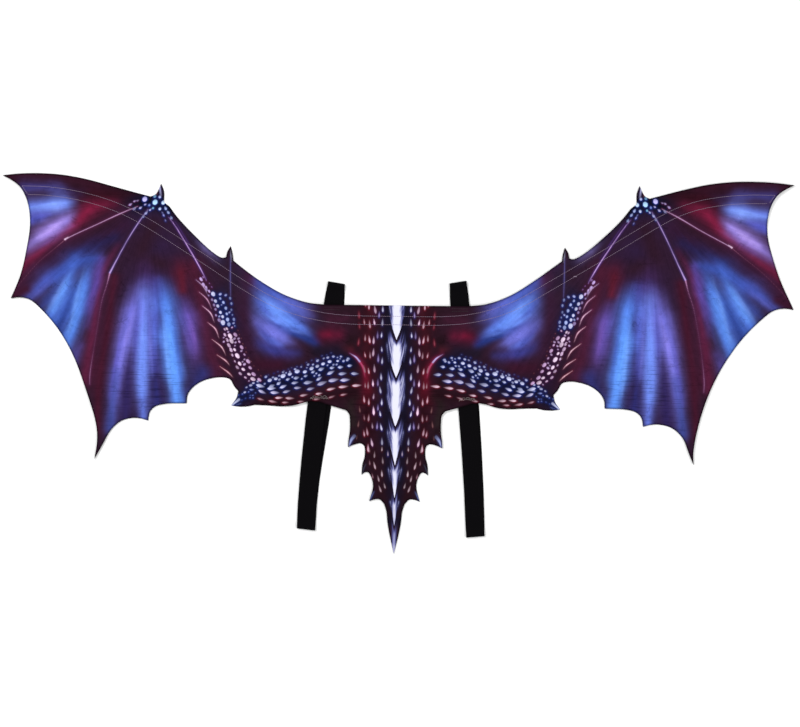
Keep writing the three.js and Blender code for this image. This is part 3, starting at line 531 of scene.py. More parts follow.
# Small round scales that fill the gaps between the rows: places in u and v of the line that they lie
# near, how far aside at most, how many places are tried, the range of their sizes, their colour,
# light and glow
SMALL_SCALES = [
    ([46, 70, 96, 122, 138], [361, 365, 374, 383, 386], 7, 140, [1.3, 2.4], (190, 196, 240), 0.7,
     BLUE_GLOW),
    ([139, 151, 161, 170], [382, 368, 350, 330], 6.5, 100, [1.4, 2.8], (214, 184, 232), 0.65, WINE_GLOW),
    ([168, 174, 181], [326, 308, 297], 7, 70, [1.3, 2.6], (180, 186, 238), 0.75, BLUE_GLOW),
    ([136, 146, 156], [386, 392, 402], 6, 28, [1.1, 1.9], (140, 156, 226), 0.6, BLUE_GLOW),
]
SMALL_SCALE_LENGTH = 1.3
SMALL_SCALE_CLEAR = 0.75
SMALL_SCALE_BRIGHT = (0.6, 1.1)
SMALL_SCALE_AHEAD = (0.8, 0.6)

# Plates of the spine: where the tip of each lies on the middle line, and how the edges of a plate
# spread from its tip. They flatten out towards PLATE_WIDTH to each side, less wide in the tail.
SPINE_TIPS = [296, 338.8, 377, 426, 464.7, 497.7, 525.5, 556, 600]
PLATE_WIDTH = 12.5
PLATE_RISE = 27
TAIL_TAPER = {"from": 405, "rate": 0.085, "least": 5.2}
TAIL_DIM = {"from": 498.0, "to": 530.0, "by": 0.4}
PLATE_NARROW = 0.985  # where the rise of a plate's edge ends, as a share of its width
PLATE_WOBBLE = 3.0
CORE_SHARE = 0.34  # half width of a plate's white core, as a share of the plate's
CORE_RAGGED = 5.0
LIT_SHARE = 0.8

# Feathers beside a plate: u and v of their upper ends, and how long they are
FEATHERS = [
    (9.6, 341, 20),
    (8.3, 379, 22),
    (8.6, 392, 18),
    (8.0, 428, 17),
    (6.0, 429, 13),
    (6.6, 466, 14),
    (4.6, 468, 11),
    (4.4, 499, 11),
]
FEATHER_WIDTH = [0.05, 0.4, 0.1]
FEATHER_LIGHT = [0.1, 0.6, 0.2]

COLOURS = {
    "back": (24, 20, 26),
    "feather": (176, 178, 222),
    "feather glow": (60, 62, 116),
    "spine light": (226, 226, 246),
    "spine shade": (92, 94, 158),
    "thread": (144, 124, 146),
    "thread by the straps": (148, 138, 138),
    "hidden thread": (26, 22, 26),
    # Painted shade in the hollows and painted light on the ribs of the elastic
    "elastic shaded hollow": (2, 1, 3),
    "elastic lit rib": (9, 8, 10),
    # Painted shade in the hollows and painted light on the ribs of the tape
    "tape shaded hollow": (12, 11, 14),
    "tape lit rib": (30, 27, 32),
}
PRINT_GAIN = 0.87  # the print's colours in daylight, as a share of what a camera records
STREAK_SHARE = 0.6  # of the light and dark along the rays
GRAIN_SHARE = 0.55
SPECKLE_SHARE = 0.45
LEAST_SHADE = 0.2
CRACK_DARK = 0.3
# How dark the painted shade of fine wrinkles in the felt is
WRINKLE_SHADE_DARK = 0.5
RIM_DARK = 0.65
RIM_WIDTH = 2.6
GLOW_SHARE = 0.85
PRINT_CURVE = 1.06  # above 1 deepens the print's darks
PAPER = ((0.86, 0.86, 0.86, 1.0), (0.88, 0.88, 0.88, 1.0))

# Threads: radius, and the pitch and length of the stitches
ROW_THREAD = {"radius": 0.00036, "pitch": 0.0036, "stitch": 0.0032}
BACK_THREAD = {"radius": 0.7 * ROW_THREAD["radius"], "pitch": 0.0046, "stitch": 0.0040}
NECK_THREAD = {"radius": 0.00034, "pitch": 0.0034, "stitch": 0.0028}
ARM_THREAD_RADIUS = 0.00026
THREAD_WANDER = 0.00025
TAPE_SEAM = 0.0080  # from the tape's middle line to a row of stitches
TACK_X = 0.3365  # where the rows are overstitched, near the right thumb


def linear(colour):
    """Linear red, green and blue of a colour with parts from 0 to 255."""
    parts = np.asarray(colour, float) / 255
    return np.where(parts <= 0.04045, parts / 12.92, ((parts + 0.055) / 1.055) ** 2.4)


# Points and curves in the plan


def height_at(down):
    return HEIGHT * (0.5 - np.asarray(down, float))


def unit(vectors):
    """The given vectors, one a row, each at a length of 1."""
    return vectors / np.linalg.norm(vectors, axis=1)[:, None]


def lengths_along(line):
    """How far along a line each of its points lies."""
    return np.concatenate([[0], np.cumsum(np.linalg.norm(np.diff(line, axis=0), axis=1))])


def places_at(stops, run, line):
    """Places on a line whose points lie at run, at the given stops."""
    return np.column_stack([np.interp(stops, run, line[:, k]) for k in (0, 1)])


def with_ends(points):
    """The points with one more beyond either end, so that a curve can start and end at them."""
    return np.vstack([2 * points[0] - points[1], points, 2 * points[-1] - points[-2]])


def smooth_line(points, step):
    """Points at even steps on the centripetal Catmull-Rom curve through the given ones."""
    points = np.asarray(points, float)
    knots = with_ends(points)
    dense = []
    shares = np.linspace(0, 1, CURVE_PIECES, endpoint=False)[:, None]
    for i in range(len(points) - 1):
        p0, p1, p2, p3 = knots[i : i + 4]
        d0, d1, d2 = (math.sqrt(np.linalg.norm(b - a)) for a, b in ((p0, p1), (p1, p2), (p2, p3)))
        start = ((p1 - p0) / d0 - (p2 - p0) / (d0 + d1) + (p2 - p1) / d1) * d1
        end = ((p2 - p1) / d1 - (p3 - p1) / (d1 + d2) + (p3 - p2) / d2) * d1
        square = -3 * p1 + 3 * p2 - 2 * start - end
        cube = 2 * p1 - 2 * p2 + start + end
        dense.append(p1 + start * shares + square * shares**2 + cube * shares**3)
    dense.append(points[-1:])
    dense = np.vstack(dense)
    run = lengths_along(dense)
    stops = np.linspace(0, run[-1], max(1, round(run[-1] / step)) + 1)
    return places_at(stops, run, dense)


def curve_through(u, v, pieces):
    """A smooth line through the places, with so many straight pieces from each to the next."""
    points = np.column_stack([u, v]).astype(float)
    knots = with_ends(points)
    line = []
    for i in range(len(points) - 1):
        p0, p1, p2, p3 = knots[i : i + 4]
        square = 2 * p0 - 5 * p1 + 4 * p2 - p3
        cube = 3 * p1 - p0 - 3 * p2 + p3
        for t in np.arange(pieces) / pieces:
            line.append(0.5 * (2 * p1 + (p2 - p0) * t + square * t**2 + cube * t**3))
    line.append(points[-1])
    return np.array(line)


def cut_edges():
    """The named edges of the right half as it is cut, each a list of points."""
    last = [0.0, float(height_at(NECK_DOWN))]
    edges = {}
    for name, across, down in EDGES:
        points = [[HALF_SPAN * a, float(height_at(d))] for a, d in zip(across, down)]
        edges[name] = smooth_line([last, *points], EDGE_STEP)
        last = points[-1]
    return edges


def cut_outline():
    """The whole outline as it is cut, counter-clockwise from the tip of the tail."""
    edges = list(cut_edges().values())
    right = np.vstack([edges[0][:1], *[edge[1:] for edge in edges]])
    left = right[1:-1] * [-1, 1]
    return np.vstack([right[::-1], left])


def laid(points):
    """Where places of the cut sheet come to lie."""
    points = np.asarray(points, float)
    x, y = points[:, 0], points[:, 1]
    side = np.sign(x)
    moved = points.copy()
    for _, across, down, reach, out, up in PULLS:
        dx = np.abs(x) - HALF_SPAN * across
        dy = y - height_at(down)
        weight = np.exp(-(dx * dx + dy * dy) / (HALF_SPAN * reach) ** 2)
        moved[:, 0] += PULL * out * weight
        moved[:, 1] += side * PULL * up * weight
    return moved


def strap_plan(strap):
    """Where a strap lies: its folds and ends, and the middle lines of its layers."""
    arm = laid(cut_edges()["arm edge"] * [strap["side"], 1])
    order = np.argsort(np.abs(arm[:, 0]))
    arm_x = STRAP_STANCE * ARM_STANCE
    arm_y = float(np.interp(arm_x, np.abs(arm[order, 0]), arm[order, 1]))
    neck_y = float(height_at(NECK_DOWN))
    top = neck_y + STRAP_ABOVE + strap["higher"]
    bottom = arm_y - STRAP_BELOW - strap["side"] * STRAP_UNEVEN

    def middle(layer):
        reach = [strap["side"] * STRAP_STANCE * value for value in strap[layer]]
        return lambda y: np.interp((top - np.asarray(y, float)) / (top - bottom), strap["along"], reach)

    return {
        "name": strap["name"],
        "top": top,
        "bottom": bottom,
        "top_end": neck_y - STRAP_SEAM,
        "arm_end": arm_y + STRAP_SEAM,
        "arm_y": arm_y,
        "under": middle("under"),
        "over": middle("over"),
        "top_turn": strap["top_turn"],
        "bottom_turn": strap["bottom_turn"],
    }


STRAP_PLANS = [strap_plan(strap) for strap in STRAPS]


def asides(line):
    """The direction to the left at each point of a line."""
    ahead = unit(np.gradient(line, axis=0))
    return np.column_stack([-ahead[:, 1], ahead[:, 0]])


def tape_line(step, aside=0.0):
    """Points along the tape from the left end to the right one, aside of its middle line."""
    across = np.asarray(TAPE_LINE["across"]) * HALF_SPAN
    down = height_at(TAPE_LINE["down"])
    right = np.column_stack([across, down])
    left = (right[1:] * [-1, 1])[::-1]
    line = smooth_line(laid(np.vstack([left, right])), step)
    return line + aside * asides(line)


# Heights


def falloff(distance, level, drape):
    """1 up to the level distance, then down to 0 over the drape."""
    share = np.clip((distance - level) / drape, 0, 1)
    return 0.5 + 0.5 * np.cos(np.pi * share)


def ripple_height(x, y):
    height = np.zeros_like(x)
    for across, down, degrees, length, width, rise in RIPPLES:
        turn = math.radians(degrees)
        dx = x - HALF_SPAN * across
        dy = y - height_at(down)
        along = (dx * math.cos(turn) + dy * math.sin(turn)) / (HALF_SPAN * length)
        aside = (dy * math.cos(turn) - dx * math.sin(turn)) / (HALF_SPAN * width)
        height += RIPPLE * rise * np.exp(-(along**2) - aside**2)
    return height


def strap_lift(x, y):
    layer = STRAP_THICKNESS + GAP
    lift = np.zeros_like(x)

    def by_strap(distance):
        return falloff(distance, LEVEL_BY_STRAP, DRAPE_BY_STRAP)

    for plan in STRAP_PLANS:
        under = by_strap(np.abs(x - plan["under"](y)) - STRAP_WIDTH / 2)
        over = by_strap(np.abs(x - plan["over"](y)) - STRAP_WIDTH / 2)
        seams = np.maximum(by_strap(plan["top_end"] - y), by_strap(y - plan["arm_end"]))
        lift += layer * (under + over * seams)
    return lift


def distance_to_line(points, line):
    """Distance of each point to a line of straight pieces, with the place on the line."""
    nearest = np.full(len(points), np.inf)
    place = np.zeros(len(points))
    for i in range(len(line) - 1):
        start, span = line[i], line[i + 1] - line[i]
        share = np.clip((points - start) @ span / (span @ span), 0, 1)
        gap = np.linalg.norm(points - start - share[:, None] * span, axis=1)
        closer = gap < nearest
        nearest = np.where(closer, gap, nearest)
        place = np.where(closer, i + share, place)
    return nearest, place


TAPE_MIDDLE = tape_line(TAPE_ROUGH_STEP)


def tape_lift(x, y):
    room = GAP + TAPE_THICKNESS + GAP
    distance, _ = distance_to_line(np.column_stack([x, y]), TAPE_MIDDLE)
    return room * falloff(distance - TAPE_WIDTH / 2, LEVEL_BY_TAPE, DRAPE_BY_TAPE)


def underside(points):
    """Height of the sheet's underside above the surface, at each place where it lies."""
    points = np.asarray(points, float)
    x, y = points[:, 0], points[:, 1]
    return ripple_height(x, y) + strap_lift(x, y) + tape_lift(x, y)


# The print


def print_place(points):
    """Places of the cut sheet in units of the print."""
    return np.column_stack([np.abs(points[:, 0]) / UNIT, MIDDLE_V - points[:, 1] / UNIT])


def lattice_noise(x, y, seed):
    """Smooth noise from -1 to 1 over a plane, with features about one unit wide."""
    lattice = np.random.RandomState(seed).uniform(-1, 1, (LATTICE, LATTICE))
    left, low = np.floor(x).astype(int), np.floor(y).astype(int)
    across, up = x - left, y - low
    across = across * across * (3 - 2 * across)
    up = up * up * (3 - 2 * up)
    corner = [[lattice[(left + i) % LATTICE, (low + j) % LATTICE] for j in (0, 1)] for i in (0, 1)]
    below = corner[0][0] + (corner[1][0] - corner[0][0]) * across
    above = corner[0][1] + (corner[1][1] - corner[0][1]) * across
    return below + (above - below) * up


def ray_place(places):
    """Where a place lies in its membrane: across the rays that fan out, and along them."""
    outer = places[:, 0] > OUTER_FROM
    offset = places - np.where(outer[:, None], OUTER_RAYS, INNER_RAYS)
    along = np.linalg.norm(offset, axis=1)
    turn = np.arctan2(offset[:, 0], offset[:, 1])
    return np.column_stack([RAY_SCALE * turn, along / RAY_SCALE])


def painted(places):
    """The print's soft colours at the given places, as parts from 0 to 255."""
    rays = ray_place(places)
    ragged = DRIFT * lattice_noise(places[:, 0] / DRIFT_SIZE, places[:, 1] / DRIFT_SIZE, DRIFT_SEED)
    for far, across, along, seed in FRAYS:
        ragged += far * lattice_noise(rays[:, 0] * across, rays[:, 1] * along, seed)
    colours = np.tile(np.array(GROUND, float), (len(places), 1))
    for u, v, width, cover, colour in STROKES:
        count = len(u)
        line = curve_through(u, v, STROKE_PIECES)
        stops = np.linspace(0, count - 1, len(line))
        widths = np.interp(stops, range(count), width)
        covers = np.interp(stops, range(count), np.broadcast_to(cover, count))
        reach = STROKE_REACH * widths.max() + STROKE_MARGIN
        near = np.all(places > line.min(axis=0) - reach, axis=1)
        near &= np.all(places < line.max(axis=0) + reach, axis=1)
        if not near.any():
            continue
        distance, place = distance_to_line(places[near], line)
        wide = np.interp(place, range(len(line)), widths)
        fray = np.clip(distance / wide, 0, 1) * np.clip(wide / FRAY_FULL, 0.2, 1)
        ratio = np.abs(distance + ragged[near] * fray) / wide
        share = np.interp(place, range(len(line)), covers)
        share = share * np.exp(-STROKE_FADE * ratio**STROKE_FADE_POWER)
        colours[near] += (np.array(colour, float) - colours[near]) * share[:, None]
    return colours


def line_mark(line, knots, width, light, colour, glow):
    """A bright line of the print, its width and light given at the knots."""
    stops = np.linspace(knots[0], knots[-1], len(line))
    return {
        "line": line,
        "width": np.interp(stops, knots, width),
        "light": np.interp(stops, knots, light),
        "colour": np.array(colour, float),
        "glow": np.array(glow, float),
        "lean": 0.0,
    }


def scale_mark(centre, ahead, form, head, length, light, colour, glow):
    """One printed scale, as a line with widths."""
    widths = np.array(form["width"])
    stops = np.linspace(-1, 1, len(widths))
    half = max((length - head * widths[-1]) / 2, 0.05)
    return {
        "line": centre + stops[:, None] * half * ahead,
        "width": head / 2 * widths,
        "light": light * np.array(form["light"]),
        "colour": np.array(colour, float),
        "glow": np.array(glow, float),
        "lean": SCALE_LEAN,
    }


def printed_marks():
    """Every bright mark of the print: bones, spikes, feathers and scales, each a line with widths."""
    marks = []
    for _, u, v, width, light, colour, glow in LINES:
        line = curve_through(u, v, LINE_PIECES)
        marks.append(line_mark(line, range(len(u)), width, light, colour, glow))
    for u, v, run in FEATHERS:
        line = curve_through([u, u - 0.6, u - 2.4], [v, v + 0.4 * run, v + run], LINE_PIECES)
        colours = COLOURS["feather"], COLOURS["feather glow"]
        marks.append(line_mark(line, [0, 0.3, 1], FEATHER_WIDTH, FEATHER_LIGHT, *colours))
    rng = random.Random(SCALE_SEED)
    for row in SCALE_ROWS:
        marks += scales_along(ScaleRow(*row), rng)
    for u, v, size, colour, light in SPOTS:
        centre, ahead = np.array([u, v]), np.array(SPOT_AHEAD)
        head, length = (share * size for share in SPOT_SHAPE)
        marks.append(scale_mark(centre, ahead, FORMS["round"], head, length, light, colour, BLUE_GLOW))
    for row in SMALL_SCALES:
        marks += scattered(row, marks, rng)
    return marks


def scales_along(row, rng):
    """The scales of one row, each a little off its place and of its own size and light."""
    form = FORMS[row.form]
    line = curve_through(row.u, row.v, SCALE_ROW_PIECES)
    run = lengths_along(line)
    scales = []
    at = row.start
    while at < run[-1]:
        before, centre, after = places_at([at - 1, at, at + 1], run, line)
        ahead = after - before
        lean = row.turn + rng.uniform(-SCALE_TURN, SCALE_TURN)
        angle = math.atan2(ahead[1], ahead[0]) + math.radians(lean)
        ahead = np.array([math.cos(angle), math.sin(angle)])
        centre = centre + [rng.uniform(-SCALE_WANDER, SCALE_WANDER) for _ in range(2)]
        size = rng.uniform(*form["size"])
        light = min(row.light * rng.uniform(*form["bright"]), 1.0)
        head, length = row.head * size, row.length * size
        scales.append(scale_mark(centre, ahead, form, head, length, light, row.colour, row.glow))
        at += row.gap * rng.uniform(*SCALE_GAPS)
    return scales


def scattered(row, marks, rng):
    """Small round scales at random places near a line, clear of all the other marks."""
    u, v, aside, tries, sizes, colour, brightness, glow = row
    line = curve_through(u, v, SCALE_ROW_PIECES)
    known = list(marks)
    for _ in range(tries):
        at = rng.uniform(0, len(line) - 1)
        centre = places_at([at], range(len(line)), line)[0]
        centre = centre + [rng.uniform(-1, 1) * aside for _ in range(2)]
        head = rng.uniform(*sizes)
        light = brightness * rng.uniform(*SMALL_SCALE_BRIGHT)
        gaps = [(np.linalg.norm(mark["line"] - centre, axis=1) - mark["width"]).min() for mark in known]
        if min(gaps) > head / 2 + SMALL_SCALE_CLEAR:
            length = head * SMALL_SCALE_LENGTH
            ahead = np.array(SMALL_SCALE_AHEAD)
            known.append(scale_mark(centre, ahead, FORMS["round"], head, length, light, colour, glow))
    return known[len(marks) :]


MARKS = printed_marks()
MARK_REACH = 3.0


def marked(places):
    """Signed distance to the nearest bright mark, in print units, with its light and colours."""
    distance = np.full(len(places), MARK_REACH)
    light = np.zeros(len(places))
    colours = np.full((len(places), 3), 200.0)
    glows = np.full((len(places), 3), 60.0)
    order = np.argsort(places[:, 0])
    sorted_u = places[order, 0]
    for mark in MARKS:
        line = mark["line"]
        reach = MARK_REACH + mark["width"].max()
        low = np.searchsorted(sorted_u, line[:, 0].min() - reach)
        high = np.searchsorted(sorted_u, line[:, 0].max() + reach)
        near = order[low:high]
        v = places[near, 1]
        near = near[(v > line[:, 1].min() - reach) & (v < line[:, 1].max() + reach)]
        if len(near) == 0:
            continue
        gap, place = distance_to_line(places[near], line)
        gap = gap - np.interp(place, range(len(line)), mark["width"])
        closer = gap < distance[near]
        chosen, place = near[closer], place[closer]
        distance[chosen] = gap[closer]
        lower = places[chosen, 1] - np.interp(place, range(len(line)), line[:, 1])
        lower = np.clip(lower / max(mark["width"].max(), 0.4), -1, 1)
        light[chosen] = np.interp(place, range(len(line)), mark["light"]) * (1 + mark["lean"] * lower)
        colours[chosen] = mark["colour"]
        glows[chosen] = mark["glow"]
    return distance, np.minimum(light, 1), colours, glows


# Meshes


def add_piece(name, vertices, faces, material, smooth=True):
    """A mesh object of the given vertices and faces."""
    mesh = bpy.data.meshes.new(name)
    mesh.from_pydata(vertices, [], faces)
    if smooth:
        mesh.shade_smooth()
    mesh.materials.append(material)
    piece = bpy.data.objects.new(name, mesh)
    bpy.context.collection.objects.link(piece)
    return piece


def give_values(mesh, name, kind, values):
    """Gives each vertex of a mesh a named number, vector or colour."""
    fields = {"FLOAT": "value", "FLOAT_VECTOR": "vector", "FLOAT_COLOR": "color"}
    data = mesh.attributes.new(name, kind, "POINT").data
    data.foreach_set(fields[kind], np.asarray(values, float).ravel())


def from_outline(outline, places):
    """Distance of each place from the nearest point of an outline."""
    tree = KDTree(len(outline))
    for i, (x, y) in enumerate(outline):
        tree.insert((x, y, 0), i)
    tree.balance()
    return np.array([tree.find((x, y, 0))[2] for x, y in places])


def grid_inside(outline, cell, clear):
    """Places of a staggered grid inside the outline, clear of its edge, each with its row."""
    rows = []
    rise = cell * math.sqrt(3) / 2
    starts = outline
    ends = np.roll(outline, -1, axis=0)
    for j in range(-int(HEIGHT / rise), int(HEIGHT / rise)):
        y = j * rise
        crossing = (starts[:, 1] > y) != (ends[:, 1] > y)
        if not crossing.any():
            continue
        a, b = starts[crossing], ends[crossing]
        edges = np.sort(a[:, 0] + (y - a[:, 1]) / (b[:, 1] - a[:, 1]) * (b[:, 0] - a[:, 0]))
        x = (np.arange(-int(HALF_SPAN / cell) - 2, int(HALF_SPAN / cell) + 2) + (j % 2) / 2) * cell
        x = x[np.searchsorted(edges, x) % 2 == 1]
        rows.append(np.column_stack([x, np.full(len(x), y), np.full(len(x), j)]))
    grid = np.vstack(rows)
    return grid[from_outline(outline, grid[:, :2]) > clear]


def filled(outline, inner):
    """Vertices and triangles that fill the outline. Its own points come first."""
    count = len(outline)
    points = [Vector(p) for p in np.vstack([outline, inner])]
    result = delaunay_2d_cdt(points, [], [list(range(count))], 1, 1e-5)
    vertices, triangles, origins = result[0], result[2], result[3]
    first = {}
    for new, old in enumerate(origins):
        for one in old:
            if one < count:
                first[one] = new
    order = [first[i] for i in range(count)]
    taken = set(order)
    order += [i for i in range(len(vertices)) if i not in taken]
    index = {old: new for new, old in enumerate(order)}
    places = np.array([(vertices[i].x, vertices[i].y) for i in order])
    return places, [[index[i] for i in face] for face in triangles]


def wing_sheet():
    """The printed sheet: a fine printed side, a coarser back and the cut edge between them."""
    outline = cut_outline()
    count = len(outline)
    fine = grid_inside(outline, FINE_CELL, FINE_CLEAR)
    column = np.round(fine[:, 0] / FINE_CELL - (fine[:, 2] % 2) / 2)
    coarse = (fine[:, 2] % 2 == 0) & ((column + fine[:, 2] / 2) % 2 == 0)
    near_mark = marked(print_place(fine))[0] < NEAR_MARK
    face_cut, face_triangles = filled(outline, fine[coarse | near_mark, :2])
    back_cut, back_triangles = filled(outline, grid_inside(outline, BACK_CELL, BACK_CLEAR)[:, :2])

    cut = np.vstack([face_cut, back_cut])
    face_count = len(face_cut)
    lying = laid(cut)
    height = underside(lying)
    height[:face_count] += FELT
    faces = list(face_triangles)
    faces += [[i + face_count for i in reversed(face)] for face in back_triangles]
    for i in range(count):
        ahead = (i + 1) % count
        faces.append([i + face_count, ahead + face_count, ahead, i])

    sheet = add_piece("printed_sheet", np.column_stack([lying, height]), faces, felt_material())
    sharpen_rims(sheet.data, count, face_count)
    add_sheet_map(sheet.data, cut, len(face_triangles), len(back_triangles))
    add_print(sheet.data, cut, face_count)
    return sheet


def sharpen_rims(mesh, count, face_count):
    """Keeps both rims of the cut edge sharp."""
    ends = np.empty(2 * len(mesh.edges), np.int32)
    mesh.edges.foreach_get("vertices", ends)
    ends = ends.reshape(-1, 2)
    sharp = np.zeros(len(ends), bool)
    for base in (0, face_count):
        place = ends - base
        on_rim = np.all((place >= 0) & (place < count), axis=1)
        apart = np.abs(place[:, 0] - place[:, 1])
        sharp |= on_rim & ((apart == 1) | (apart == count - 1))
    mesh.attributes.new("sharp_edge", "BOOLEAN", "EDGE").data.foreach_set("value", sharp)


def add_sheet_map(mesh, cut, face_triangles, back_triangles):
    """Flat map of the sheet: the printed side above, the back below, the cut edge round the first."""
    scale = 0.64
    middle = np.array([0.5, 0.745])
    back_down = 0.49
    rim = 0.0015
    corners = np.empty(len(mesh.loops), np.int32)
    mesh.loops.foreach_get("vertex_index", corners)
    starts = np.empty(len(mesh.polygons), np.int32)
    mesh.polygons.foreach_get("loop_start", starts)
    places = (middle + cut * scale)[corners]
    back = slice(starts[face_triangles], starts[face_triangles + back_triangles])
    places[back, 1] -= back_down
    side = places[starts[face_triangles + back_triangles] :].reshape(-1, 4, 2)
    outward = side[:, :2] - middle
    side[:, :2] += rim * outward / np.linalg.norm(outward, axis=2)[:, :, None]
    layer = mesh.uv_layers.new(name="OFBake")
    layer.data.foreach_set("uv", places.ravel())


def wrinkle_shade_amount(u, v):
    """How much painted shade of fine wrinkles the felt gets: in the low part of the wing and at the hip.
    """
    wing = np.exp(-(((u - 246) / 56) ** 2) - ((v - 392) / 56) ** 2)
    hip = np.exp(-(((u - 40) / 15) ** 2) - ((v - 402) / 16) ** 2)
    return wing + hip


def add_print(mesh, cut, face_count):
    """The print as smooth values on the mesh, for the material to turn into crisp marks."""
    places = print_place(cut)
    opaque = np.ones(len(cut))
    colours = linear(255 * (painted(places) / 255) ** PRINT_CURVE)
    distance, light, tint, halo = marked(places)
    signed = np.column_stack([cut[:, 0] / UNIT, places[:, 1], np.zeros(len(cut))])
    rays = np.column_stack([ray_place(places), np.sign(cut[:, 0])])
    rim = from_outline(cut_outline(), cut) / UNIT

    give_values(mesh, "print_colour", "FLOAT_COLOR", np.column_stack([colours, opaque]))
    give_values(mesh, "mark_colour", "FLOAT_COLOR", np.column_stack([linear(tint), opaque]))
    give_values(mesh, "glow_colour", "FLOAT_COLOR", np.column_stack([linear(halo), opaque]))
    give_values(mesh, "mark_distance", "FLOAT", distance)
    give_values(mesh, "mark_light", "FLOAT", light)
    give_values(mesh, "print_place", "FLOAT_VECTOR", signed)
    give_values(mesh, "ray_place", "FLOAT_VECTOR", rays)
    # Where the felt gets painted shade of fine wrinkles
    give_values(mesh, "wrinkle_shade_amount", "FLOAT", wrinkle_shade_amount(places[:, 0], places[:, 1]))
    give_values(mesh, "from_rim", "FLOAT", rim)
    give_values(mesh, "printed", "FLOAT", np.arange(len(cut)) < face_count)


# Materials


class Shader:
    """A material with a Principled surface, and short ways to add nodes to it."""

    def __init__(self, name):
        self.material = bpy.data.materials.new(name)
        self.material.use_nodes = True
        self.tree = self.material.node_tree
        self.surface = self.tree.nodes["Principled BSDF"]

    def add(self, kind, **settings):
        node = self.tree.nodes.new(kind)
        for key, value in settings.items():
            setattr(node, key, value)
        return node

    def feed(self, socket, value):
        if isinstance(value, bpy.types.NodeSocket):
            self.tree.links.new(value, socket)
        else:
            socket.default_value = value

    def attribute(self, name, output="Color"):
        return self.add("ShaderNodeAttribute", attribute_name=name).outputs[output]

    def math(self, operation, *values):
        node = self.add("ShaderNodeMath", operation=operation)
        for socket, value in zip(node.inputs, values):
            self.feed(socket, value)
        return node.outputs[0]

    def plus(self, first, second):
        return self.math("ADD", first, second)

    def minus(self, first, second):
        return self.math("SUBTRACT", first, second)

    def times(self, first, second):
        return self.math("MULTIPLY", first, second)

    def times_plus(self, value, factor, addend):
        return self.math("MULTIPLY_ADD", value, factor, addend)

    def most(self, first, second):
        return self.math("MAXIMUM", first, second)

    def least(self, first, second):
        return self.math("MINIMUM", first, second)

    def waves(self, value, length):
        return self.math("SINE", self.times(value, 2 * math.pi / length))

    def step(self, value, low, high):
        """0 where the value is at low and 1 where it is at high, smooth between."""
        node = self.add("ShaderNodeMapRange", interpolation_type="SMOOTHSTEP")
        self.feed(node.inputs["Value"], value)
        self.feed(node.inputs["From Min"], low)
        self.feed(node.inputs["From Max"], high)
        return node.outputs["Result"]

    def mix(self, share, first, second, blend="MIX"):
        node = self.add("ShaderNodeMix", data_type="RGBA", blend_type=blend)
        self.feed(node.inputs[0], share)
        self.feed(node.inputs[6], first)
        self.feed(node.inputs[7], second)
        return node.outputs[2]

    def vector(self, x, y, z=0.0):
        node = self.add("ShaderNodeCombineXYZ")
        for socket, value in zip(node.inputs, (x, y, z)):
            self.feed(socket, value)
        return node.outputs[0]

    def parts(self, vector):
        node = self.add("ShaderNodeSeparateXYZ")
        self.feed(node.inputs[0], vector)
        return node.outputs

    def noise(self, vector, scale, detail=2.0, roughness=0.5):
        node = self.add("ShaderNodeTexNoise")
        self.feed(node.inputs["Vector"], vector)
        node.inputs["Scale"].default_value = scale
        node.inputs["Detail"].default_value = detail
        node.inputs["Roughness"].default_value = roughness
        return node.outputs["Fac"]

    def bump(self, height, strength, distance):
        node = self.add("ShaderNodeBump")
        self.feed(node.inputs["Height"], height)
        node.inputs["Strength"].default_value = strength
        node.inputs["Distance"].default_value = distance
        self.feed(self.surface.inputs["Normal"], node.outputs[0])

    def finished(self, colour, roughness, gloss=0.5):
        """The material, with its colour and how rough and how glossy it is."""
        self.feed(self.surface.inputs["Base Color"], colour)
        self.surface.inputs["Roughness"].default_value = roughness
        self.surface.inputs["Specular IOR Level"].default_value = gloss
        return self.material


def rgba(colour, gain=1.0):
    return (*(float(part) * gain for part in linear(colour)), 1.0)


def tips_around(shader, place):
    """The tips of the spine's plates just above and just below a place."""
    above, below = SPINE_TIPS[0], SPINE_TIPS[1]
    for before, tip, after in zip(SPINE_TIPS, SPINE_TIPS[1:], SPINE_TIPS[2:]):
        passed = shader.math("GREATER_THAN", place, tip)
        above = shader.times_plus(passed, tip - before, above)
        below = shader.times_plus(passed, after - tip, below)
    return above, below


def plate_edge(shader, place, aside, down, widest):
    """Where the edge of a plate that passes through a place meets the middle line."""
    share = shader.least(shader.math("DIVIDE", aside, widest), PLATE_NARROW)
    rise = shader.math("LOGARITHM", shader.minus(1.0, share), math.e)
    rise = shader.times(rise, -PLATE_RISE)
    wobble = shader.times_plus(shader.noise(place, 0.4, 2, 0.5), PLATE_WOBBLE, -PLATE_WOBBLE / 2)
    return shader.plus(shader.plus(down, rise), wobble)


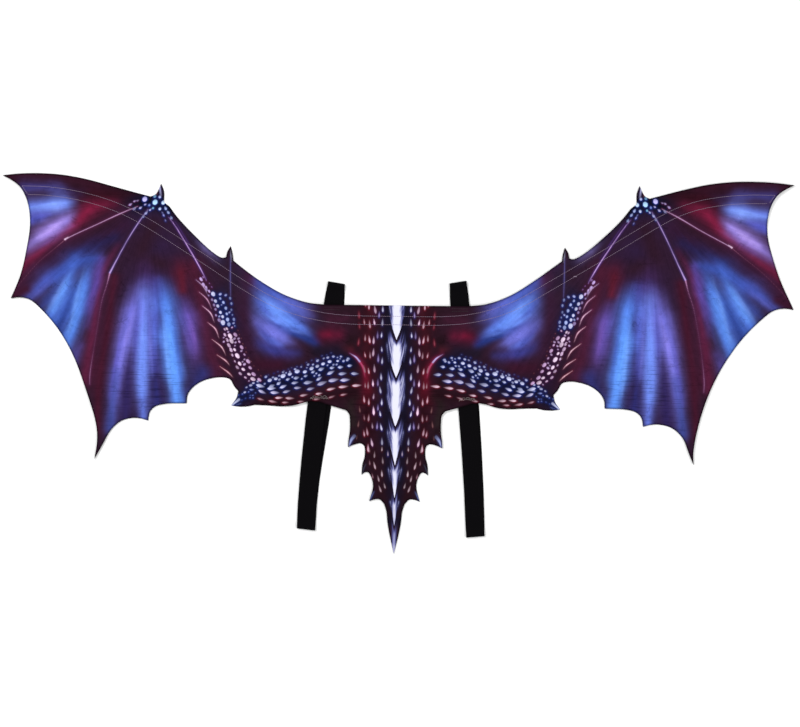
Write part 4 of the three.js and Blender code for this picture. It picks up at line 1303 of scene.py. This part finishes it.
def spine_plates(shader, place, across, down, ground):
    """The spine's plates, each with a white core, shaded feathery sides and a dark outline."""
    aside = shader.math("ABSOLUTE", across)
    rate = TAIL_TAPER["rate"]
    widest = shader.times_plus(down, -rate, PLATE_WIDTH + rate * TAIL_TAPER["from"])
    widest = shader.least(shader.most(widest, TAIL_TAPER["least"]), PLATE_WIDTH)
    edge = plate_edge(shader, place, aside, down, widest)
    above, below = tips_around(shader, edge)
    from_outline = shader.minus(edge, above)
    from_tip = shader.minus(down, above)
    to_tip = shader.most(shader.minus(below, down), 1.0)
    inside = shader.math("DIVIDE", shader.minus(below, edge), to_tip)

    feather_place = shader.vector(shader.times(edge, 0.15), shader.times(across, 0.1))
    feather = shader.noise(feather_place, 1.0, 3, 0.6)
    ragged = shader.times_plus(feather, CORE_RAGGED, -CORE_RAGGED / 2)
    streak = shader.step(feather, 0.42, 0.62)
    from_core = shader.times_plus(widest, -CORE_SHARE, shader.plus(aside, ragged))
    core = shader.times(shader.step(from_core, 2.6, -2.4), shader.step(from_tip, -4.0, 9.0))
    low = shader.times(shader.step(to_tip, 23.0, 9.0), shader.step(inside, 0.04, 0.42))
    sides = shader.times(shader.times_plus(streak, 0.52, 0.14), shader.step(from_tip, -12.0, 4.0))
    lit = shader.most(shader.most(core, low), sides)

    # Darker towards the outline, the sides and the end of the tail
    lit = shader.times(lit, shader.step(from_outline, 2.0, 9.0))
    limit = shader.times(widest, LIT_SHARE)
    lit = shader.times(lit, shader.step(shader.minus(aside, limit), 0.6, -3.4))
    tail = shader.step(down, TAIL_DIM["from"], TAIL_DIM["to"])
    lit = shader.times(lit, shader.times_plus(tail, -TAIL_DIM["by"], 1.0))
    shade, light = rgba(COLOURS["spine shade"]), rgba(COLOURS["spine light"])
    spine = shader.mix(shader.step(lit, 0.3, 1.0), shade, light)
    return shader.mix(shader.step(lit, 0.0, 0.55), ground, spine)


def cracks(shader, place, speckle):
    """Fine dark cracks, in patches."""
    warp = shader.noise(place, 0.12, 3, 0.6)
    shift = shader.vector(shader.times(warp, 22.0), shader.times(speckle, 3.0))
    crack_place = shader.add("ShaderNodeVectorMath", operation="ADD")
    shader.feed(crack_place.inputs[0], place)
    shader.feed(crack_place.inputs[1], shift)
    cells = shader.add("ShaderNodeTexVoronoi", feature="DISTANCE_TO_EDGE")
    shader.feed(cells.inputs["Vector"], crack_place.outputs[0])
    cells.inputs["Scale"].default_value = 0.085
    crack = shader.step(cells.outputs["Distance"], 0.045, 0.0)
    patch = shader.step(shader.noise(place, 0.06, 2, 0.5), 0.5, 0.66)
    return shader.times(shader.times(crack, patch), CRACK_DARK)


def painted_wrinkle_shade(shader, across, down):
    """Painted shade of fine wrinkles across the sheet: dark lines in the colour, where the felt has such
    wrinkles.
    """
    wrinkle_shade = shader.noise(shader.vector(shader.times(across, 0.05), down), 0.8, 2, 0.6)
    wrinkle_shade = shader.times(shader.step(wrinkle_shade, 0.52, 0.66), shader.attribute("wrinkle_shade_amount", "Fac"))
    return shader.times(wrinkle_shade, WRINKLE_SHADE_DARK)


def airbrushed(shader, place, across, down, speckle):
    """How light the painted ground is: grain along the rays, cracks, painted shade of fine wrinkles and a
    dark rim.
    """
    streaks = shader.noise(shader.attribute("ray_place", "Vector"), 0.9, 4, 0.62)
    grain = shader.noise(place, 0.16, 4, 0.6)
    shade = shader.times_plus(streaks, STREAK_SHARE, LEAST_SHADE)
    shade = shader.times_plus(grain, GRAIN_SHARE, shade)
    shade = shader.times_plus(speckle, SPECKLE_SHARE, shade)
    # The print's cracks, and the painted shade of fine wrinkles, darken the ground
    dark = shader.most(cracks(shader, place, speckle), painted_wrinkle_shade(shader, across, down))
    shade = shader.times(shade, shader.minus(1.0, dark))
    rim = shader.step(shader.attribute("from_rim", "Fac"), RIM_WIDTH, 0.0)
    return shader.times(shade, shader.times_plus(rim, -RIM_DARK, 1.0))


def bright_marks(shader, ground, speckle):
    """The crisp marks of the print, each with a glow round it."""
    distance = shader.attribute("mark_distance", "Fac")
    rough = shader.times(shader.minus(speckle, 0.5), 0.5)
    mask = shader.step(shader.plus(distance, rough), 0.35, -0.45)
    glow = shader.step(distance, 2.1, -0.2)
    light = shader.attribute("mark_light", "Fac")
    tint = shader.attribute("mark_colour")
    halo = shader.attribute("glow_colour")
    ground = shader.mix(shader.times(shader.times(glow, light), GLOW_SHARE), ground, halo)
    return shader.mix(shader.times(mask, light), ground, tint)


def felt_material():
    """The printed felt: painted colours, crisp marks, the spine's plates, and the plain back."""
    shader = Shader("printed_felt")
    place = shader.attribute("print_place", "Vector")
    across, down, _ = shader.parts(place)
    speckle = shader.noise(place, 1.1, 3, 0.7)
    shade = airbrushed(shader, place, across, down, speckle)
    shade = shader.vector(shade, shade, shade)
    ground = shader.mix(1.0, shader.attribute("print_colour"), shade, "MULTIPLY")
    ground = spine_plates(shader, place, across, down, ground)
    ground = bright_marks(shader, ground, speckle)
    printed = shader.step(shader.attribute("printed", "Fac"), 0.9, 1.0)
    colour = shader.mix(printed, rgba(COLOURS["back"]), ground)
    colour = shader.mix(1.0, colour, (PRINT_GAIN, PRINT_GAIN, PRINT_GAIN, 1.0), "MULTIPLY")
    shader.bump(shader.noise(place, 3.2, 4, 0.7), 0.25, 0.0006)
    return shader.finished(colour, 0.85, 0.02)


def elastic_material():
    """Black elastic, ribbed along its length, with painted light on its ribs and painted shade in the
    hollows between them.
    """
    shader = Shader("black_elastic")
    weave = shader.attribute("weave", "Vector")
    across, along, _ = shader.parts(weave)
    ribs = shader.waves(across, 0.0015)
    picks = shader.waves(along, 0.0012)
    fibres = shader.noise(weave, 900.0, 2, 0.6)
    height = shader.plus(shader.times(ribs, 0.5), shader.times(picks, 0.3))
    height = shader.plus(height, shader.times(fibres, 0.5))
    # Painted shade in the hollows and painted light on the ribs, by the height of the bump
    hollow, rib = rgba(COLOURS["elastic shaded hollow"]), rgba(COLOURS["elastic lit rib"])
    shader.bump(height, 0.3, 0.0003)
    return shader.finished(shader.mix(shader.step(height, -0.6, 1.1), hollow, rib), 0.7, 0.03)


def tape_material():
    """Plain black twill tape, with painted light on its ribs and painted shade in the hollows between
    them.
    """
    shader = Shader("stay_tape")
    across, along, _ = shader.parts(shader.attribute("weave", "Vector"))
    ribs = shader.waves(shader.plus(across, shader.times(along, 0.8)), 0.0012)
    # Painted shade in the hollows and painted light on the ribs, by the height of the bump
    hollow, rib = rgba(COLOURS["tape shaded hollow"]), rgba(COLOURS["tape lit rib"])
    shader.bump(ribs, 0.25, 0.0002)
    return shader.finished(shader.mix(shader.step(ribs, -1.0, 1.0), hollow, rib), 0.8)


def thread_material(name, colour):
    """Cotton thread with a slight twist."""
    shader = Shader(name)
    place = shader.add("ShaderNodeTexCoord").outputs["Object"]
    twist = shader.step(shader.noise(place, 1400.0, 1, 0.5), 0.3, 0.7)
    return shader.finished(shader.mix(twist, rgba(colour, 0.7), rgba(colour)), 0.75)


def floor_material():
    """Matt white paper with the faintest unevenness."""
    shader = Shader("floor_paper")
    place = shader.add("ShaderNodeTexCoord").outputs["Object"]
    cloud = shader.noise(place, 1.5, 2, 0.5)
    return shader.finished(shader.mix(cloud, *PAPER), 0.95, 0.1)


# Straps and tape


def ribbon(name, middles, sides, ups, width, thickness, across_steps, material):
    """A closed band with rounded edges along the given middle points."""
    bulge = thickness / 2
    section = [(t, 1) for t in np.linspace(-1, 1, across_steps)]
    section += [(t, -1) for t in np.linspace(1, -1, across_steps)]
    vertices = []
    weave = []
    for middle, side, up, along in zip(middles, sides, ups, lengths_along(middles)):
        for t, face in section:
            round_off = bulge * (1 - 0.35 * abs(t) ** 14)
            vertices.append(middle + side * (t * width / 2) + up * (face * round_off))
            weave.append((t * width / 2, along, face * bulge))
    ring = len(section)
    faces = []
    for r in range(len(middles) - 1):
        for i in range(ring):
            ahead = (i + 1) % ring
            faces.append([r * ring + i, r * ring + ahead, (r + 1) * ring + ahead, (r + 1) * ring + i])
    last = (len(middles) - 1) * ring
    for i in range(across_steps - 1):
        back = ring - 1 - i
        faces.append([i + 1, i, back, back - 1])
        faces.append([last + i, last + i + 1, last + back - 1, last + back])
    band = add_piece(name, vertices, faces, material)
    give_values(band.data, "weave", "FLOAT_VECTOR", weave)
    return band


def strap_profile(plan):
    """Layer, Y and Z along a strap: from its end under the neck edge, over the top fold, down
    the layer on the surface, and round the bottom fold to its end under the arm edge."""
    swell_steps = 12
    fold_steps = 16
    low = STRAP_THICKNESS / 2
    high = low + STRAP_THICKNESS + GAP
    turn = low + FOLD_RADIUS
    top = plan["top"] - FOLD_RADIUS - low
    bottom = plan["bottom"] + FOLD_RADIUS + low
    profile = []

    def level(layer, start, end, z):
        steps = max(1, round(abs(end - start) / STRAP_STEP))
        for i in range(steps + 1):
            profile.append((layer, start + (end - start) * i / steps, z))

    def swell(start, end, towards_fold):
        for i in range(1, swell_steps):
            climb = 0.5 - 0.5 * towards_fold * math.cos(math.pi * i / swell_steps)
            z = high + (turn + FOLD_RADIUS - high) * climb
            profile.append(("over", start + (end - start) * i / swell_steps, z))

    def fold(y, outward):
        for i in range(fold_steps + 1):
            angle = math.pi * i / fold_steps
            reach = y + outward * FOLD_RADIUS * math.sin(angle)
            profile.append(("under", reach, turn + outward * FOLD_RADIUS * math.cos(angle)))

    level("over", plan["top_end"], top - FOLD_RUN, high)
    swell(top - FOLD_RUN, top, 1)
    fold(top, 1)
    level("under", top - STRAP_STEP, bottom + STRAP_STEP, low)
    fold(bottom, -1)
    swell(bottom, bottom + FOLD_RUN, -1)
    level("over", bottom + FOLD_RUN, plan["arm_end"], high)
    return profile


def strap(plan, material):
    """One elastic strap, a flattened loop whose folds are turned a little and drawn in."""
    step = 0.022
    fold_reach = 0.02
    top_drawn, bottom_drawn = 0.1, 0.03
    middles = np.array([(plan[layer](y), y, z) for layer, y, z in strap_profile(plan)])
    y = middles[:, 1]
    lean = plan["under"](y - step) - plan["under"](y + step)
    by_top = np.exp(-(((y - plan["top"]) / fold_reach) ** 2))
    by_bottom = np.exp(-(((y - plan["bottom"]) / fold_reach) ** 2))
    lean += 2 * step * math.tan(math.radians(plan["top_turn"])) * by_top
    lean += 2 * step * math.tan(math.radians(plan["bottom_turn"])) * by_bottom
    sides = unit(np.column_stack([np.full(len(lean), 2 * step), lean, np.zeros(len(lean))]))
    ups = unit(np.cross(sides, unit(np.gradient(middles, axis=0))))
    sides = sides * (1 - top_drawn * by_top - bottom_drawn * by_bottom)[:, None]
    name = plan["name"] + "_elastic"
    return ribbon(name, middles, sides, ups, STRAP_WIDTH, STRAP_THICKNESS, 25, material)


def stay_tape(material):
    """The tape under the sheet, a flat strip with slanted ends."""
    across = 8
    line = tape_line(TAPE_STEP)
    aside = asides(line)
    end = np.zeros(len(line))
    end[0], end[-1] = -1, 1
    plan = []
    weave = []
    for i, point in enumerate(line):
        for t in np.linspace(1, -1, across + 1):
            place = point + aside[i] * t * TAPE_WIDTH / 2
            plan.append(place + [end[i] * TAPE_SLANT * t * TAPE_WIDTH / 2, 0])
            weave.append((t * TAPE_WIDTH / 2, TAPE_STEP * i, 0.0))
    plan = np.array(plan)
    top = underside(plan) - GAP
    points = np.vstack([np.column_stack([plan, top]), np.column_stack([plan, top - TAPE_THICKNESS])])
    count = len(plan)
    ring = across + 1
    rows = len(line)
    faces = []
    for r in range(rows - 1):
        for i in range(across):
            a, b, c, d = r * ring + i, r * ring + i + 1, (r + 1) * ring + i + 1, (r + 1) * ring + i
            faces.append([d, c, b, a])
            faces.append([a + count, b + count, c + count, d + count])
        for i in (0, across):
            a, b = r * ring + i, (r + 1) * ring + i
            wall = [a, b, b + count, a + count]
            faces.append(wall if i else wall[::-1])
    for r in (0, rows - 1):
        for i in range(across):
            a, b = r * ring + i, r * ring + i + 1
            wall = [a, a + count, b + count, b]
            faces.append(wall if r else wall[::-1])
    tape = add_piece("stay_tape_cloth", points, faces, material, smooth=False)
    give_values(tape.data, "weave", "FLOAT_VECTOR", weave * 2)
    return tape


# Stitches, each a thread from one point to another


def stitch_mesh(name, stitches, radius, material):
    """One mesh of short threads with rounded ends."""
    vertices = []
    faces = []
    sides = 6
    shares = ((0.0, 0.35), (0.1, 0.85), (0.35, 1.0), (0.65, 1.0), (0.9, 0.85), (1.0, 0.35))
    for start, end in stitches:
        start, end = Vector(start), Vector(end)
        along = (end - start).normalized()
        aside = along.cross(Vector((0, 0, 1))).normalized()
        up = aside.cross(along)
        base = len(vertices)
        for share, size in shares:
            middle = start.lerp(end, share) - up * radius * 0.9 * (2 * share - 1) ** 4
            for k in range(sides):
                angle = 2 * math.pi * k / sides
                offset = aside * math.cos(angle) + up * math.sin(angle)
                vertices.append(middle + offset * radius * size)
        for r in range(len(shares) - 1):
            low, high = base + r * sides, base + (r + 1) * sides
            for k in range(sides):
                ahead = (k + 1) % sides
                faces.append([low + k, low + ahead, high + ahead, high + k])
        faces.append([base + k for k in reversed(range(sides))])
        faces.append([base + (len(shares) - 1) * sides + k for k in range(sides)])
    return add_piece(name, vertices, faces, material)


def sewn(line, thread, seed, below=False):
    """Stitches along a line in the plan, lying on the sheet or, if below, on the tape's back."""
    rng = random.Random(seed)
    run = lengths_along(line)
    starts = np.arange(0, run[-1] - thread["stitch"], thread["pitch"])
    places = [places_at(stops, run, line) for stops in (starts, starts + thread["stitch"])]
    heights = [underside(place) for place in places]
    stitches = []
    for i in range(len(starts)):
        wander = [rng.uniform(-THREAD_WANDER, THREAD_WANDER) for _ in range(2)]
        pair = []
        for place, height, shift in zip(places, heights, wander):
            z = height[i] - GAP - TAPE_THICKNESS if below else height[i] + FELT
            pair.append((place[i, 0], place[i, 1] + shift, z + 0.15 * thread["radius"]))
        stitches.append(pair)
    return stitches


def sewn_corners(line, radius):
    """A stitch from each point of the line to the next, on the sheet."""
    heights = underside(line) + FELT + 0.2 * radius
    points = np.column_stack([line, heights])
    return [(points[i], points[i + 1]) for i in range(len(points) - 1)]


def zigzag(middle_x, middle_y, width, height, teeth):
    """A line that runs to and fro between two levels."""
    x = np.linspace(-width / 2, width / 2, 2 * teeth + 1)
    y = np.where(np.arange(2 * teeth + 1) % 2 == 0, -height / 2, height / 2)
    return np.column_stack([middle_x + x, middle_y + y])


def tape_stitches():
    """The two rows that hold the tape, from the sheet's face and back, and their slanted ends."""
    lines = []
    for aside in (TAPE_SEAM, -TAPE_SEAM):
        line = tape_line(TAPE_STEP, aside)
        line[0, 0] -= TAPE_SLANT * aside
        line[-1, 0] += TAPE_SLANT * aside
        keep = (line[:, 0] > line[0, 0] + 0.002) & (line[:, 0] < line[-1, 0] - 0.002)
        lines.append(np.vstack([line[:1], line[keep], line[-1:]]))
    stitches = []
    for i, line in enumerate(lines):
        stitches += sewn(line, ROW_THREAD, i)
        stitches += sewn(line, BACK_THREAD, i + 5, below=True)
    for side in (0, -1):
        ends = np.array([lines[0][side], lines[1][side]])
        stitches += sewn(smooth_line(ends, SEAM_STEP), ROW_THREAD, 9 - side)
    tack_y = float(np.interp(TACK_X, lines[1][:, 0], lines[1][:, 1]))
    return stitches + sewn_corners(zigzag(TACK_X, tack_y, 0.006, 0.0024, 3), ROW_THREAD["radius"])


def strap_stitches():
    """Loose zigzags that hold each strap's end by the arm, in pale thread."""
    stitches = []
    rng = random.Random(23)
    for plan in STRAP_PLANS:
        middle = float(plan["over"](plan["arm_end"])) + 0.002
        for rise, teeth in ((0.0048, 8), (0.0078, 3)):
            width = STRAP_WIDTH * rng.uniform(0.8, 1.0)
            line = zigzag(middle, plan["arm_y"] + rise, width, 0.0026, teeth)
            line[:, 1] += [rng.uniform(-0.0009, 0.0009) for _ in line]
            line[:, 1] += 0.0025 * np.sin(np.linspace(0, 3.1, len(line)))
            stitches += sewn_corners(line, ARM_THREAD_RADIUS)
    return stitches


def neck_stitches():
    """Two short rows near the neck edge that hold each strap's other end, in black thread."""
    stitches = []
    half = STRAP_WIDTH / 2 - 0.002
    for plan in STRAP_PLANS:
        for rise in (0.0035, 0.0085):
            y = plan["top_end"] + rise
            middle = float(plan["over"](y))
            line = np.array([[middle - half, y], [middle + half, y]])
            stitches += sewn(smooth_line(line, SEAM_STEP), NECK_THREAD, 31)
    return stitches


# The stage


def add_floor():
    bpy.ops.mesh.primitive_plane_add(size=14)
    floor = bpy.context.object
    floor.name = "floor"
    floor.data.materials.append(floor_material())


def add_area_light(name, place, size, power):
    """A round lamp that points at the middle of the wings."""
    light = bpy.data.lights.new(name, "AREA")
    light.shape = "DISK"
    light.size = size
    light.energy = power
    lamp = bpy.data.objects.new(name, light)
    lamp.location = place
    lamp.rotation_euler = (-Vector(place)).to_track_quat("-Z", "Y").to_euler()
    bpy.context.collection.objects.link(lamp)


def add_lights():
    add_area_light("key", (-1.6, 1.4, 2.6), 1.6, 62)
    add_area_light("fill", (1.9, -0.6, 2.6), 2.0, 34)
    world = bpy.data.worlds.new("studio")
    world.use_nodes = True
    world.node_tree.nodes["Background"].inputs[0].default_value = (1.0, 1.0, 1.0, 1.0)
    world.node_tree.nodes["Background"].inputs[1].default_value = 0.72
    bpy.context.scene.world = world


def add_camera():
    """Straight above, turned as the object lies turned in the photograph."""
    span = 1.514  # width of the surface that the picture shows
    away = 3.5
    sensor = 36
    turn = math.radians(0.734)
    right, up = 0.0072, 0.0042
    camera = bpy.data.cameras.new("camera")
    camera.sensor_width = sensor
    camera.lens = sensor * away / span
    rig = bpy.data.objects.new("camera", camera)
    x = right * math.cos(turn) - up * math.sin(turn)
    y = right * math.sin(turn) + up * math.cos(turn)
    rig.location = (x, y, away + 0.004)
    rig.rotation_euler = (0, 0, turn)
    bpy.context.collection.objects.link(rig)
    bpy.context.scene.camera = rig
    bpy.context.scene.view_settings.view_transform = "Standard"


# Assembly

sheet = wing_sheet()
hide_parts("wing_sheet")
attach(sheet, "root")

tape = stay_tape(tape_material())
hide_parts("stay_tape")
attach(tape, "root")

elastic = elastic_material()
for plan in STRAP_PLANS:
    band = strap(plan, elastic)
    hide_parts(plan["name"])
    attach(band, "root")

row_thread = thread_material("thread", COLOURS["thread"])
rows = stitch_mesh("tape_stitches", tape_stitches(), ROW_THREAD["radius"], row_thread)
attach(rows, "root")
arm_thread = thread_material("thread_by_the_straps", COLOURS["thread by the straps"])
ends = stitch_mesh("strap_stitches", strap_stitches(), ARM_THREAD_RADIUS, arm_thread)
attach(ends, "root")
neck_thread = thread_material("hidden_thread", COLOURS["hidden thread"])
bars = stitch_mesh("neck_stitches", neck_stitches(), NECK_THREAD["radius"], neck_thread)
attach(bars, "root")

add_floor()
add_lights()
add_camera()
